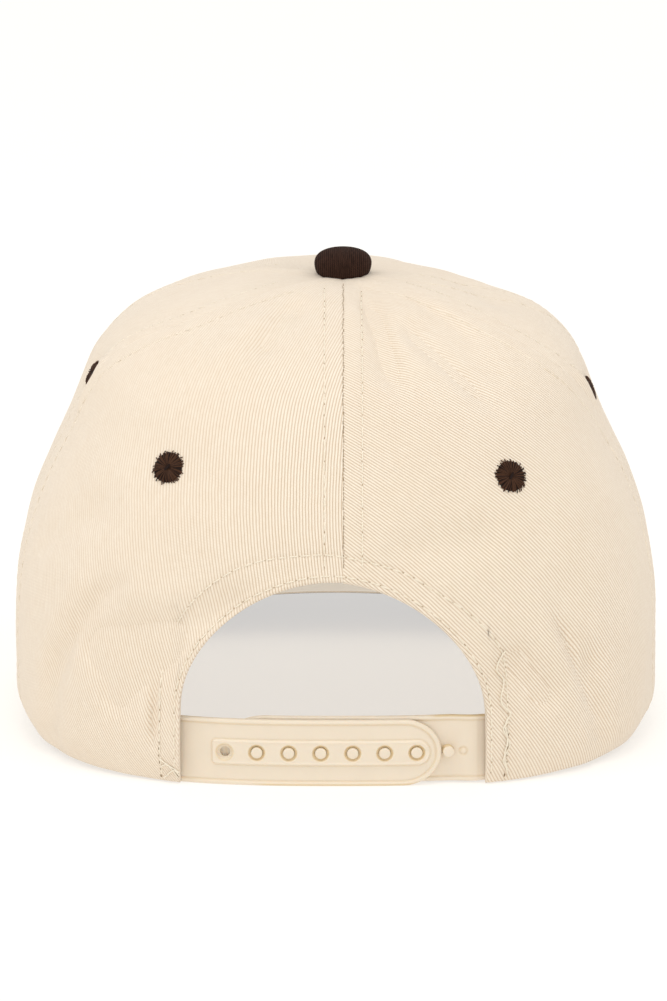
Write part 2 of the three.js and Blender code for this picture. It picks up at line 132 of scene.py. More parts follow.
# How a seam sinks and how the turned-in edges beside it stand up under the twin stitch rows
SEAM_SINK = {
    "centre": 0.14,
    "back_left": 0.10,
    "back_right": 0.10,
    "front_left": 0.12,
    "front_right": 0.12,
}
SEAM_SINK_WIDTH = 0.7
ALLOWANCE_RISE = 0.22
ROW_OFFSET = 5.6
ALLOWANCE_EDGE = 7.4
ROW_SINK = 0.20
FINE_ROW_SINK = 0.13
ROW_SINK_WIDTH = 0.6
STITCH_PITCH = 3.5
PUCKER_RISE = 0.06
PUCKER_WIDTH = 2.2


def spline(stops, values):
    """A natural cubic curve through the values."""
    count = len(stops)
    gap = np.diff(stops)
    slope = np.diff(values) / gap
    lines = np.eye(count)
    right = np.zeros(count)
    for i in range(1, count - 1):
        lines[i, i - 1:i + 2] = gap[i - 1], 2 * (gap[i - 1] + gap[i]), gap[i]
        right[i] = 6 * (slope[i] - slope[i - 1])
    bend = np.linalg.solve(lines, right)

    def curve(x):
        x = np.asarray(x, float)
        i = np.clip(np.searchsorted(stops, x) - 1, 0, count - 2)
        span = gap[i]
        a = (stops[i + 1] - x) / span
        b = (x - stops[i]) / span
        curl = ((a ** 3 - a) * bend[i] + (b ** 3 - b) * bend[i + 1]) * span ** 2 / 6
        return a * values[i] + b * values[i + 1] + curl

    return curve


def smooth_step(x, low, high):
    share = np.clip((x - low) / (high - low), 0, 1)
    return share * share * (3 - 2 * share)


def bell(away, wide):
    return np.exp(-(away / wide) ** 2)


section = {name: spline(CROWN[:, 0], CROWN[:, k]) for k, name in enumerate(CROWN_COLUMNS) if k}
seam_degrees = {name: spline(SEAMS[:, 0], SEAMS[:, k]) for k, name in enumerate(SEAM_COLUMNS) if k}


def top_shift(level):
    return SEAM_X * smooth_step(level, TOP_SHIFT_FROM, TOP_SHIFT_TO)


def smooth_crown(angle, level):
    """The crown without its folds, angle in radians from centre back."""
    side, back = np.sin(angle), np.cos(angle)
    half = np.maximum(section["half_width"](level), 1e-3)
    deep = np.maximum(np.where(back > 0, section["back"](level), section["front"](level)), 1e-3)
    power = section["squareness"](level)
    radius = ((np.abs(side) / half) ** power + (np.abs(back) / deep) ** power) ** (-1 / power)
    low = np.maximum(1 - level / LIFT_ENDS_AT, 0) ** 2
    lift = (FRONT_LIFT * ((1 - back) / 2) ** 3 + SIDE_LIFT * side ** 4) * low
    height = section["height"](level) + lift
    return np.stack([radius * side + top_shift(level), CAP_Y - radius * back, height], -1)


def unit(vectors):
    return vectors / np.maximum(np.linalg.norm(vectors, axis=-1, keepdims=True), 1e-12)


def run_along(points):
    """How far along a line of points each of them is."""
    return np.concatenate([[0], np.cumsum(np.linalg.norm(np.diff(points, axis=0), axis=-1))])


def crown_slopes(angle, level):
    """Points of the smooth crown, and how they move with the angle and with the level."""
    step = 1e-4
    here = smooth_crown(angle, level)
    by_angle = (smooth_crown(angle + step, level) - here) / step
    by_level = (smooth_crown(angle, level + step) - here) / step
    return here, by_angle, by_level


def facing(surface, angle, level, step):
    """The outward direction of a surface, from its slope over a small step."""
    right = surface(angle + step, level) - surface(angle - step, level)
    above = np.minimum(level + step, 0.999)
    below = np.maximum(level - step, 0.0)
    return unit(np.cross(right, surface(angle, above) - surface(angle, below)))


def nearest_on(points, line):
    """Each point's distance to a line of points, and how far along the line that is."""
    best = np.full(points.shape[:-1], 1e9)
    run = np.zeros(points.shape[:-1])
    walked = 0.0
    for a, b in zip(line[:-1], line[1:]):
        step = b - a
        length = np.linalg.norm(step)
        share = np.clip((points - a) @ step / max(length * length, 1e-12), 0, 1)
        away = np.linalg.norm(points - a - share[..., None] * step, axis=-1)
        nearer = away < best
        best = np.where(nearer, away, best)
        run = np.where(nearer, walked + share * length, run)
        walked += length
    return best, run


fold_lines = [
    (smooth_crown(np.radians([from_angle, to_angle]), np.array([from_level, to_level])), wide, deep)
    for from_angle, from_level, to_angle, to_level, wide, deep in FOLDS
]
SMOOTH_STEP = 1e-3
CLOTH_STEP = 4e-3


def crown(angle, level):
    """The crown with its folds, as the solids have it."""
    points = smooth_crown(angle, level)
    sink = sum(deep * bell(nearest_on(points, line)[0], wide) for line, wide, deep in fold_lines)
    return points - facing(smooth_crown, angle, level, SMOOTH_STEP) * sink[..., None]


def seam_angle(name, level):
    if name == "centre":
        return np.arctan2(SEAM_X - top_shift(level), np.maximum(section["back"](level), 1))
    return np.radians(seam_degrees[name](level))


seam_levels = np.linspace(0, PANEL_TOP, 70)
seam_lines = {name: smooth_crown(seam_angle(name, seam_levels), seam_levels) for name in SEAM_SINK}


def seam_relief(points):
    """How far the cloth stands out or sinks beside the seams."""
    relief = np.zeros(points.shape[:-1])
    for name, line in seam_lines.items():
        away, run = nearest_on(points, line)
        stitched = bell(away - ROW_OFFSET, ROW_SINK_WIDTH)
        drawn = bell(away - ROW_OFFSET, PUCKER_WIDTH)
        relief += ALLOWANCE_RISE * (1 - smooth_step(away, ROW_OFFSET - ROW_SINK_WIDTH, ALLOWANCE_EDGE))
        relief -= SEAM_SINK[name] * bell(away, SEAM_SINK_WIDTH)
        relief -= (ROW_SINK if name == "centre" else FINE_ROW_SINK) * stitched
        relief += PUCKER_RISE * drawn * np.sin(2 * math.pi * run / STITCH_PITCH)
    return relief


# Unevenness of sewn cloth: wave lengths along X, Y, Z, a phase, and the height
UNEVEN = (
    ((31, 43, 37), 0.4, 0.09),
    ((23, 29, -41), 2.1, 0.06),
    ((-17, 21, 26), 4.4, 0.04),
    ((13, -19, 15), 1.3, 0.02),
)


def unevenness(points):
    height = np.zeros(points.shape[:-1])
    for waves, phase, size in UNEVEN:
        height += size * np.sin(2 * math.pi * (points / np.array(waves)).sum(-1) + phase)
    return height


# Wrinkles of the worn cloth over the folds: degrees and level along each, its width, and how deep it
# sinks, or stands out where that is negative. Each fades over a share of its length at both ends.
WRINKLES = (
    (((-58, 0.06), (-55.8, 0.136), (-52.8, 0.187), (-49.8, 0.242), (-45.8, 0.286), (-36.5, 0.330)), 2.4, 1.5),
    (((-61, 0.10), (-57.0, 0.20), (-52.5, 0.275), (-46.0, 0.335)), 4.5, -0.9),
    (((39, 0.285), (42.8, 0.242), (45.5, 0.19), (48, 0.137), (50, 0.096), (52.5, 0.04)), 1.7, 2.0),
    (((44, 0.285), (48.0, 0.22), (51.0, 0.15), (54, 0.07)), 3.6, -0.8),
    (((-51, 0.180), (-45, 0.196), (-39, 0.208), (-33, 0.222), (-27, 0.244)), 7.0, 4.4),
    (((-36, 0.222), (-29, 0.250), (-22, 0.282), (-14, 0.315)), 5.5, 1.7),
    (((-46, 0.275), (-38, 0.286), (-31, 0.296), (-25, 0.315), (-17, 0.345)), 6.5, -0.9),
    (((-43, 0.185), (-36, 0.212), (-31, 0.232), (-27, 0.250)), 4.0, -0.9),
    (((-44, 0.09), (-40.5, 0.14), (-36.5, 0.185), (-33.5, 0.215)), 6.0, 2.6),
    (((-34.4, 0.26), (-34.5, 0.17), (-34.5, 0.10), (-34.6, 0.04)), 1.1, 3.4),
    (((17.4, 0.93), (17.0, 0.749), (16.0, 0.66), (16.5, 0.58)), 3.4, 2.4),
    (((25, 0.84), (29, 0.73), (33.0, 0.656), (36.5, 0.60), (42, 0.54)), 4.0, 2.0),
    (((42, 0.88), (45.2, 0.777), (46.0, 0.68)), 3.5, 1.1),
    (((-27, 0.90), (-23.6, 0.772), (-24, 0.66)), 4.4, 2.0),
    (((-34, 0.84), (-34.0, 0.74), (-36, 0.64)), 5.0, -0.8),
    (((31, 0.225), (34.5, 0.190), (38.0, 0.145), (42, 0.10)), 4.8, 2.5),
    (((8, 0.378), (18, 0.372), (28, 0.380), (36, 0.405)), 6.5, 1.4),
    (((-70, 0.31), (-58, 0.358), (-49.8, 0.402), (-44, 0.44)), 5.5, 1.3),
    (((-60, 0.43), (-47, 0.455), (-38, 0.42)), 9.0, -0.6),
    (((-75, 0.64), (-73.2, 0.605), (-73.0, 0.575), (-73.8, 0.545), (-75.5, 0.51)), 2.8, -1.0),
    (((70, 0.61), (73.0, 0.577), (76.0, 0.547), (79.5, 0.518), (83, 0.49)), 2.8, -1.2),
)
WRINKLE_FADE = 0.3


def wrinkle_relief(points):
    relief = np.zeros(points.shape[:-1])
    for line, wide, deep in wrinkle_lines:
        away, run = nearest_on(points, line)
        share = run / np.linalg.norm(np.diff(line, axis=0), axis=-1).sum()
        fade = smooth_step(share, 0, WRINKLE_FADE) * (1 - smooth_step(share, 1 - WRINKLE_FADE, 1))
        relief -= deep * fade * bell(away, wide)
    return relief


wrinkle_lines = [
    (smooth_crown(np.radians([p[0] for p in line]), np.array([p[1] for p in line])), wide, deep)
    for line, wide, deep in WRINKLES
]
extra_relief = [wrinkle_relief]

# The cloth dips round the side eyelets: degrees, level, how wide and how deep
DIPS = (
    (-79.5, 0.585, 7.5, 2.4),
    (81.5, 0.545, 6.5, 1.6),
)


def on_smooth(degrees, level):
    """One point of the smooth crown."""
    return smooth_crown(np.radians(degrees), np.array(level))


def dip_relief(points):
    relief = np.zeros(points.shape[:-1])
    for degrees, level, wide, deep in DIPS:
        relief -= deep * bell(np.linalg.norm(points - on_smooth(degrees, level), axis=-1), wide)
    return relief


extra_relief.append(dip_relief)


def cloth(angle, level):
    """The outer face of the sewn cloth, with its outward direction."""
    points = crown(angle, level)
    out = facing(crown, angle, level, CLOTH_STEP)
    relief = seam_relief(points) + unevenness(points)
    for more in extra_relief:
        relief += more(points)
    return points + out * relief[..., None], out


def spaced(length, fine, fine_zone, coarse):
    """Places along a length, close together near both of its ends."""
    zone = min(fine_zone, length / 3)
    ends = np.arange(0, zone, fine)
    middle = np.linspace(zone, length - zone, max(int((length - 2 * zone) / coarse), 2) + 1)
    return np.concatenate([ends, middle, length - ends[::-1]]) / length


# Levels at which a panel's ribs have their leans. The cloth coordinates are fitted to those leans up to
# a level, as a polynomial of some degree in so many millimetres across and up.
RIB_LEVELS = (0.0, 0.15, 0.30, 0.50, 0.80)
MAP_ROWS = 80
MAP_COLUMNS = 61
MAP_FITTED_TO = 0.93
MAP_DEGREE = 4
MAP_ACROSS = 50
MAP_UP = 100


def cloth_map(start, end, rib_leans):
    """Cloth coordinates in millimetres for a panel: across the ribs and along them. The ribs lean from
    straight up the crown by the given degrees, at the panel's start, middle and end for each level."""
    levels = np.linspace(0, PANEL_TOP, MAP_ROWS)
    share, level = np.meshgrid(np.linspace(0, 1, MAP_COLUMNS), levels)
    angle = start(level) + share * (end(level) - start(level))
    points = smooth_crown(angle, level)
    middle = MAP_COLUMNS // 2
    across = np.zeros(share.shape)
    across[:, 1:] = np.cumsum(np.linalg.norm(np.diff(points, axis=1), axis=-1), axis=1)
    across -= across[:, middle:middle + 1]
    up = run_along(points[:, middle])
    step = SMOOTH_STEP
    risen = unit(smooth_crown(angle, np.minimum(level + step, 1)) - points)
    aside = smooth_crown(angle + step, level) - points
    aside = unit(aside - (aside * risen).sum(-1, keepdims=True) * risen)
    by_level = [np.interp(level, RIB_LEVELS, [row[k] for row in rib_leans]) for k in range(3)]
    lean = np.where(share < 0.5, by_level[0] * (1 - 2 * share) + by_level[1] * 2 * share,
                    by_level[1] * (2 - 2 * share) + by_level[2] * (2 * share - 1))
    lean = np.radians(lean)[..., None]
    along_rib = np.cos(lean) * risen + np.sin(lean) * aside
    over_rib = np.cos(lean) * aside - np.sin(lean) * risen
    row_step = np.gradient(points, axis=1)
    level_step = np.gradient(points, axis=0)

    def terms(u, v):
        a, b = u / MAP_ACROSS, v / MAP_UP
        return [a ** i * b ** j for i in range(MAP_DEGREE + 1) for j in range(MAP_DEGREE + 1 - i) if i + j]

    def slopes(field, toward):
        """How fast a field on the grid changes toward a direction on the cloth."""
        rows, levels = (row_step ** 2).sum(-1), (level_step ** 2).sum(-1)
        both_ways = (row_step * level_step).sum(-1)
        by_row, by_level = (row_step * toward).sum(-1), (level_step * toward).sum(-1)
        size = rows * levels - both_ways * both_ways
        row_share = (by_row * levels - by_level * both_ways) / size
        level_share = (by_level * rows - by_row * both_ways) / size
        return row_share * np.gradient(field, axis=1) + level_share * np.gradient(field, axis=0)

    fitted = level < MAP_FITTED_TO
    fields = terms(across, np.broadcast_to(up[:, None], across.shape))
    by_rib = np.stack([slopes(field, along_rib)[fitted] for field in fields], -1)
    by_over = np.stack([slopes(field, over_rib)[fitted] for field in fields], -1)
    both = np.concatenate([by_rib, by_over])
    nought, one = np.zeros(len(by_rib)), np.ones(len(by_rib))
    wanted = ((nought, one), (one, nought))
    weights = [np.linalg.lstsq(both, np.concatenate(want), rcond=None)[0] for want in wanted]

    def laid(share, level):
        row = np.clip(level / PANEL_TOP * (MAP_ROWS - 1), 0, MAP_ROWS - 1.001)
        column = np.clip(share * (MAP_COLUMNS - 1), 0, MAP_COLUMNS - 1.001)
        j, i = row.astype(int), column.astype(int)
        b, a = row - j, column - i
        u = (across[j, i] * (1 - a) + across[j, i + 1] * a) * (1 - b)
        u += (across[j + 1, i] * (1 - a) + across[j + 1, i + 1] * a) * b
        found = terms(u, up[j] * (1 - b) + up[j + 1] * b)
        return np.stack([sum(w * term for w, term in zip(weight, found)) for weight in weights], -1)

    return laid


def new_piece(name, points, faces, material, uv=None, second=None, second_faces=None):
    """A mesh from points in millimetres, with cloth coordinates for each point, and a second material on
    the faces that are marked for it."""
    mesh = bpy.data.meshes.new(name)
    mesh.from_pydata((np.asarray(points) * MM).tolist(), [], np.asarray(faces).tolist())
    if uv is not None:
        layer = mesh.uv_layers.new(name="cloth")
        corners = np.zeros(len(mesh.loops), np.int32)
        mesh.loops.foreach_get("vertex_index", corners)
        layer.uv.foreach_set("vector", np.asarray(uv, np.float32)[corners].ravel())
    mesh.polygons.foreach_set("use_smooth", [True] * len(mesh.polygons))
    mesh.materials.append(material)
    if second is not None:
        mesh.materials.append(second)
        mesh.polygons.foreach_set("material_index", np.asarray(second_faces, np.int32))
    mesh.update()
    piece = bpy.data.objects.new(name, mesh)
    bpy.context.collection.objects.link(piece)
    return piece


def grid_faces(rows, columns):
    """Faces between the neighbouring points of a grid."""
    j, i = np.meshgrid(np.arange(rows - 1), np.arange(columns - 1), indexing="ij")
    a = (j * columns + i).ravel()
    return np.stack([a, a + 1, a + columns + 1, a + columns], 1)


# A panel's lower edge is turned in, and its roll stands this far past the fold. The weave runs on over
# the turn by a length for each step.
EDGE_ROLL = 0.7
TURN_STEPS = (0.15, 0.5, 0.85)
TURN_LENGTH = 0.6

# Where the ribs' relief and painted groove shade are strongest, round the half moon; elsewhere they are
# weaker: degrees, level, reach and strength
RIBS_DISTINCT = (
    (8, 0.40, 62, 0.80),
    (-42, 0.12, 36, 0.45),
    (42, 0.12, 42, 0.45),
    (45, 0.40, 60, 0.35),
)
RIBS_LEAST = 0.28


def rib_relief_and_shade(points):
    strength = np.full(len(points), RIBS_LEAST)
    for degrees, level, reach, more in RIBS_DISTINCT:
        strength += more * bell(np.linalg.norm(points - on_smooth(degrees, level), axis=-1), reach)
    return np.minimum(strength, 1)


def sewn_panel(name, share, level, start, end, rib_leans, material, lining=None):
    """A cloth panel from a grid of shares and levels, its lower edge turned over and its back faced."""
    angle = start(level) + share * (end(level) - start(level))
    outer, out = cloth(angle, level)
    inner = crown(angle, level) - out * CLOTH_THICK
    laid = cloth_map(start, end, rib_leans)(share, level)
    down = unit(outer[0] - outer[1])
    turned = [
        outer[0] + (inner[0] - outer[0]) * s + down * (EDGE_ROLL * math.sin(math.pi * s)) for s in TURN_STEPS
    ]
    rows = [*outer[::-1], *turned, *inner]
    fall = unit(laid[0] - laid[1]) * TURN_LENGTH
    turned_cloth = [laid[0] + fall * (k + 1) for k in range(len(turned))]
    points = np.concatenate(rows)
    uv = np.concatenate([*laid[::-1], *turned_cloth, *(laid + fall * (len(turned) + 1))])
    columns = share.shape[1]
    faces = grid_faces(len(rows), columns)
    last = (len(rows) - 1) * columns
    top = np.arange(columns - 1)
    rim = np.stack([top + 1, top, last + top, last + top + 1], 1)
    faces = np.concatenate([faces[:, ::-1], rim[:, ::-1]])
    lined = np.arange(len(faces)) >= (len(outer) + len(turned)) * (columns - 1)
    panel = new_piece(name, points, faces, material, uv, lining, lined)
    distinct = panel.data.attributes.new("ribs", "FLOAT", "POINT")
    distinct.data.foreach_set("value", rib_relief_and_shade(points).astype(np.float32))
    return panel


def value(tree, operation, *inputs):
    """A Math node on sockets or numbers."""
    node = tree.nodes.new("ShaderNodeMath")
    node.operation = operation
    for k, item in enumerate(inputs):
        if isinstance(item, (int, float)):
            node.inputs[k].default_value = item
        else:
            tree.links.new(item, node.inputs[k])
    return node.outputs[0]


def noise(tree, place, scale, detail=2.0):
    """A Noise Texture's value at a place."""
    node = tree.nodes.new("ShaderNodeTexNoise")
    node.inputs["Scale"].default_value = scale
    node.inputs["Detail"].default_value = detail
    tree.links.new(place, node.inputs["Vector"])
    return node.outputs[0]


def blend(tree, first, second, share):
    """A colour between two, of which the first may be a socket."""
    node = tree.nodes.new("ShaderNodeMix")
    node.data_type = "RGBA"
    if isinstance(first, tuple):
        node.inputs["A"].default_value = (*first, 1)
    else:
        tree.links.new(first, node.inputs["A"])
    node.inputs["B"].default_value = (*second, 1)
    tree.links.new(share, node.inputs["Factor"])
    return node.outputs["Result"]


def bump(tree, shader, height, rise, strength=1.0):
    """Fine relief on a shader, so many millimetres high."""
    node = tree.nodes.new("ShaderNodeBump")
    node.inputs["Strength"].default_value = strength
    node.inputs["Distance"].default_value = rise * MM
    tree.links.new(height, node.inputs["Height"])
    tree.links.new(node.outputs[0], shader.inputs["Normal"])


def new_material(name):
    """A new material, with its node tree and its shader."""
    material = bpy.data.materials.new(name)
    material.use_nodes = True
    return material, material.node_tree, material.node_tree.nodes["Principled BSDF"]


def twill_weave():
    """Node group: the diagonal ribs of twill from cloth coordinates in millimetres."""
    group = bpy.data.node_groups.new("Twill weave", "ShaderNodeTree")
    face = group.interface
    face.new_socket("Cloth", in_out="INPUT", socket_type="NodeSocketVector")
    face.new_socket("Rib pitch", in_out="INPUT", socket_type="NodeSocketFloat").default_value = 1.2
    face.new_socket("Yarn pitch", in_out="INPUT", socket_type="NodeSocketFloat").default_value = 0.9
    face.new_socket("Waver", in_out="INPUT", socket_type="NodeSocketFloat").default_value = 0.3
    face.new_socket("Height", in_out="OUTPUT", socket_type="NodeSocketFloat")
    face.new_socket("Groove", in_out="OUTPUT", socket_type="NodeSocketFloat")
    face.new_socket("Streak", in_out="OUTPUT", socket_type="NodeSocketFloat")
    entry = group.nodes.new("NodeGroupInput")
    leave = group.nodes.new("NodeGroupOutput")
    apart = group.nodes.new("ShaderNodeSeparateXYZ")
    group.links.new(entry.outputs["Cloth"], apart.inputs[0])
    waves = noise(group, entry.outputs["Cloth"], 0.16)
    sway = value(group, "MULTIPLY", value(group, "SUBTRACT", waves, 0.5), entry.outputs["Waver"])
    across = value(group, "DIVIDE", value(group, "ADD", apart.outputs["X"], sway), entry.outputs["Rib pitch"])
    along = value(group, "DIVIDE", apart.outputs["Y"], entry.outputs["Yarn pitch"])
    rib_number = value(group, "FLOOR", across)
    within = value(group, "SUBTRACT", across, rib_number)
    rib = value(group, "POWER", value(group, "SINE", value(group, "MULTIPLY", within, math.pi)), 0.7)
    shifted = value(group, "ADD", along, value(group, "MULTIPLY", rib_number, 0.37))
    yarn = value(group, "SINE", value(group, "MULTIPLY", shifted, 2 * math.pi))
    spot = group.nodes.new("ShaderNodeCombineXYZ")
    group.links.new(value(group, "MULTIPLY", rib_number, 7.31), spot.inputs[0])
    group.links.new(value(group, "MULTIPLY", apart.outputs["Y"], 0.28), spot.inputs[1])
    streak = noise(group, spot.outputs[0], 1.0, 3.0)
    lively = value(group, "ADD", 0.8, value(group, "MULTIPLY", streak, 0.4))
    twisted = value(group, "ADD", 0.86, value(group, "MULTIPLY", yarn, 0.14))
    height = value(group, "MULTIPLY", value(group, "MULTIPLY", rib, lively), twisted)
    group.links.new(height, leave.inputs["Height"])
    group.links.new(value(group, "SUBTRACT", 1.0, rib), leave.inputs["Groove"])
    group.links.new(streak, leave.inputs["Streak"])
    return group


twill_group = twill_weave()
GROOVE_MEAN = 0.28


def twill_material(name, rib_colour, groove_shade_colour, rib_pitch, depth, sheen, varied, flecked):
    """Matte cotton twill: ribs in relief, painted shade in the grooves, and slow unevenness of the dye.
    Varied cloth has its painted groove shade and its rib relief as strong as its attribute tells."""
    material, tree, shader = new_material(name)
    place = tree.nodes.new("ShaderNodeUVMap")
    place.uv_map = "cloth"
    weave = tree.nodes.new("ShaderNodeGroup")
    weave.node_tree = twill_group
    weave.inputs["Rib pitch"].default_value = rib_pitch
    tree.links.new(place.outputs[0], weave.inputs["Cloth"])
    patches = noise(tree, place.outputs[0], 0.035, 4.0)
    shade = weave.outputs["Groove"]
    height = weave.outputs["Height"]
    if varied:
        distinct = tree.nodes.new("ShaderNodeAttribute")
        distinct.attribute_name = "ribs"
        plain = value(tree, "MULTIPLY", value(tree, "SUBTRACT", 1.0, distinct.outputs["Fac"]), GROOVE_MEAN)
        shade = value(tree, "ADD", value(tree, "MULTIPLY", shade, distinct.outputs["Fac"]), plain)
        raised = value(tree, "ADD", 0.4, value(tree, "MULTIPLY", distinct.outputs["Fac"], 0.6))
        height = value(tree, "MULTIPLY", height, raised)
    fleck = value(tree, "MULTIPLY", value(tree, "SUBTRACT", 0.5, weave.outputs["Streak"]), flecked)
    patch = value(tree, "MULTIPLY", value(tree, "SUBTRACT", patches, 0.5), 0.15)
    mixed = value(tree, "ADD", value(tree, "ADD", shade, fleck), patch)
    tree.links.new(blend(tree, rib_colour, groove_shade_colour, mixed), shader.inputs["Base Color"])
    bump(tree, shader, height, depth)
    shader.inputs["Roughness"].default_value = 0.92
    shader.inputs["Specular IOR Level"].default_value = 0.1
    shader.inputs["Sheen Weight"].default_value = sheen
    shader.inputs["Sheen Roughness"].default_value = 0.6
    return material


cream_twill = twill_material("cream twill", CREAM_CLOTH, CREAM_GROOVE_SHADE, RIB_PITCH, 0.16, 0.25, True, 0.3)

# The stiffening shows inside as a pale, plain cloth, and its near-white colour is partly painted light that
# lifts it where it lies in the cap's shade
stiffening, _, stiffening_shader = new_material("pale stiffening")
stiffening_shader.inputs["Base Color"].default_value = (*LINING_CLOTH, 1)
stiffening_shader.inputs["Roughness"].default_value = 0.95
stiffening_shader.inputs["Specular IOR Level"].default_value = 0.1


def named_seam(name):
    return lambda level: seam_angle(name, level)


def front_left_round(level):
    return seam_angle("front_left", level) + 2 * math.pi


FRONT_RIBS = ((35, 35, 35),) * 5
panel_levels = PANEL_TOP * spaced(180, 0.8, 8, 1.3)
front_share, front_level = np.meshgrid(spaced(200, 0.5, 8, 1.5), panel_levels)
front = sewn_panel(
    "front_panel_cloth", front_share, front_level, named_seam("front_right"), front_left_round, FRONT_RIBS,
    cream_twill, stiffening
)
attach(front, "root")
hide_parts("front_panel")

# Side panels. Two narrow gores of the same twill, sewn between the front panel and the back panels,
# with an eyelet high up in each. Their ribs follow the shoulder of the cap.
SIDE_LEFT_RIBS = ((15, 15, 15),) * 5
SIDE_RIGHT_RIBS = ((-14, -12, -10),) * 5
side_share, side_level = np.meshgrid(spaced(82, 0.5, 8, 1.3), panel_levels)
side_left = sewn_panel(
    "side_panel_left_cloth", side_share, side_level, named_seam("front_left"), named_seam("back_left"),
    SIDE_LEFT_RIBS, cream_twill
)
side_right = sewn_panel(
    "side_panel_right_cloth", side_share, side_level, named_seam("back_right"), named_seam("front_right"),
    SIDE_RIGHT_RIBS, cream_twill
)
for piece, node in ((side_left, "side_panel_left"), (side_right, "side_panel_right")):
    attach(piece, "root")
    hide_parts(node)

# Back panels. Two gores of twill, joined down the centre and cut away in a half moon over the strap.
# The half moon's edge is turned in over a tape, and the two ends below it hold the strap.
ARCH_X = -0.9
ARCH_HALF_WIDTH = 45.0
ARCH_SPRING = 23.0
ARCH_RISE = 39.9
ARCH_SQUARENESS = 1.83
ARCH_TILT = 0.023
ARCH_FOOT = 0.9
ROUGH_HALF_WIDTH = 98
ROUGH_CLOTH_HEIGHT = 195


def on_back(x, z):
    """The angle and level at which the crown's back has this X and Z, found from a rough guess."""
    angle, level = np.arcsin(x / ROUGH_HALF_WIDTH), z / ROUGH_CLOTH_HEIGHT
    for _ in range(12):
        here, by_angle, by_level = crown_slopes(angle, level)
        dx, dz = x - here[..., 0], z - here[..., 2]
        size = by_angle[..., 0] * by_level[..., 2] - by_level[..., 0] * by_angle[..., 2]
        angle = angle + (dx * by_level[..., 2] - dz * by_level[..., 0]) / size
        level = np.maximum(level + (dz * by_angle[..., 0] - dx * by_angle[..., 2]) / size, 0)
    return angle, level


def half_moon(side):
    """X and Z of the cloth's fold from centre back down to the rim, on one side (-1 or 1). The turned edge
    rolls past it to the opening's edge."""
    turn = np.linspace(0, math.pi / 2, 60)
    across = side * (ARCH_HALF_WIDTH + EDGE_ROLL) * np.sin(turn) ** (2 / ARCH_SQUARENESS)
    z = ARCH_SPRING + (ARCH_RISE + EDGE_ROLL) * np.cos(turn) ** (2 / ARCH_SQUARENESS) - ARCH_TILT * across
    low = np.linspace(z[-1], ARCH_FOOT, 14)[1:]
    x = ARCH_X + across
    return np.concatenate([x, np.full(len(low), x[-1])]), np.concatenate([z, low])


def edge_path(side, outer_seam):
    """Shares and levels of a back panel's lower edge: the half moon, the strap end and the rim."""
    angle, level = on_back(*half_moon(side))
    level[-1] = 0
    start = seam_angle("centre", level)
    share = (angle - start) / (seam_angle(outer_seam, level) - start)
    keep = share > 0.004
    rim = np.linspace(share[-1], 1, 60)[1:]
    share = np.concatenate([[0], share[keep], rim])
    level = np.concatenate([level[keep][:1], level[keep], np.zeros(len(rim))])
    return share, level


def back_grid(side, outer_seam):
    """Shares and levels of a back panel's mesh, from its lower edge up to the top."""
    share, level = edge_path(side, outer_seam)
    start = seam_angle("centre", level)
    run = run_along(smooth_crown(start + share * (seam_angle(outer_seam, level) - start), level))
    stops = spaced(run[-1], 0.5, 8, 1.1) * run[-1]
    corner = run[np.argmax(level == 0)]
    stops[np.argmin(np.abs(stops - corner))] = corner
    low_share = np.interp(stops, run, share)
    low_level = np.interp(stops, run, level)
    top_share = stops / run[-1]
    rise = spaced(130, 0.6, 10, 1.2)[:, None]
    grid_share = low_share + (top_share - low_share) * rise ** 1.3
    grid_level = low_level + (PANEL_TOP - low_level) * rise
    return grid_share, grid_level


hem_lines = [smooth_crown(*on_back(*half_moon(side))) for side in (-1, 1)]

# The turned-in hem stands up over a width. Its inner stitch row runs so far from the fold, and its outer
# one goes round the half moon and down both strap ends, through these degrees and levels.
HEM_RISE = 0.30
HEM_WIDTH = (2.2, 3.2)
HEM_ROW = 1.4
OUTER_ROW_SINK = 0.28
OUTER_ROW_PUCKER = 0.12
LOWEST = 0.002
OUTER_ROW = np.array([
    (-33.25, 0.004), (-33.25, 0.06), (-33.25, 0.12), (-33.25, 0.186), (-32.5, 0.227), (-29, 0.277),
    (-24, 0.320), (-16, 0.353), (-6, 0.364), (0.75, 0.363), (11.75, 0.343), (18.25, 0.316),
    (24.5, 0.282), (29.5, 0.240), (32.0, 0.198), (32.4, 0.150), (32.4, 0.100), (32.4, 0.05), (32.4, 0.004),
])
row_stops = np.arange(len(OUTER_ROW), dtype=float)
row_fine = np.linspace(0, len(OUTER_ROW) - 1, 300)
outer_row_angle = np.radians(spline(row_stops, OUTER_ROW[:, 0])(row_fine))
outer_row_level = np.maximum(spline(row_stops, OUTER_ROW[:, 1])(row_fine), LOWEST)
outer_row_line = smooth_crown(outer_row_angle, outer_row_level)


def hem_relief(points):
    """The hem's double cloth and its two stitch rows."""
    away = np.minimum(*[nearest_on(points, line)[0] for line in hem_lines])
    row, run = nearest_on(points, outer_row_line)
    relief = HEM_RISE * (1 - smooth_step(away, *HEM_WIDTH))
    relief -= ROW_SINK * bell(away - HEM_ROW, ROW_SINK_WIDTH)
    relief -= OUTER_ROW_SINK * bell(row, ROW_SINK_WIDTH)
    relief += OUTER_ROW_PUCKER * bell(row, PUCKER_WIDTH) * np.sin(2 * math.pi * run / STITCH_PITCH)
    return relief


extra_relief.append(hem_relief)

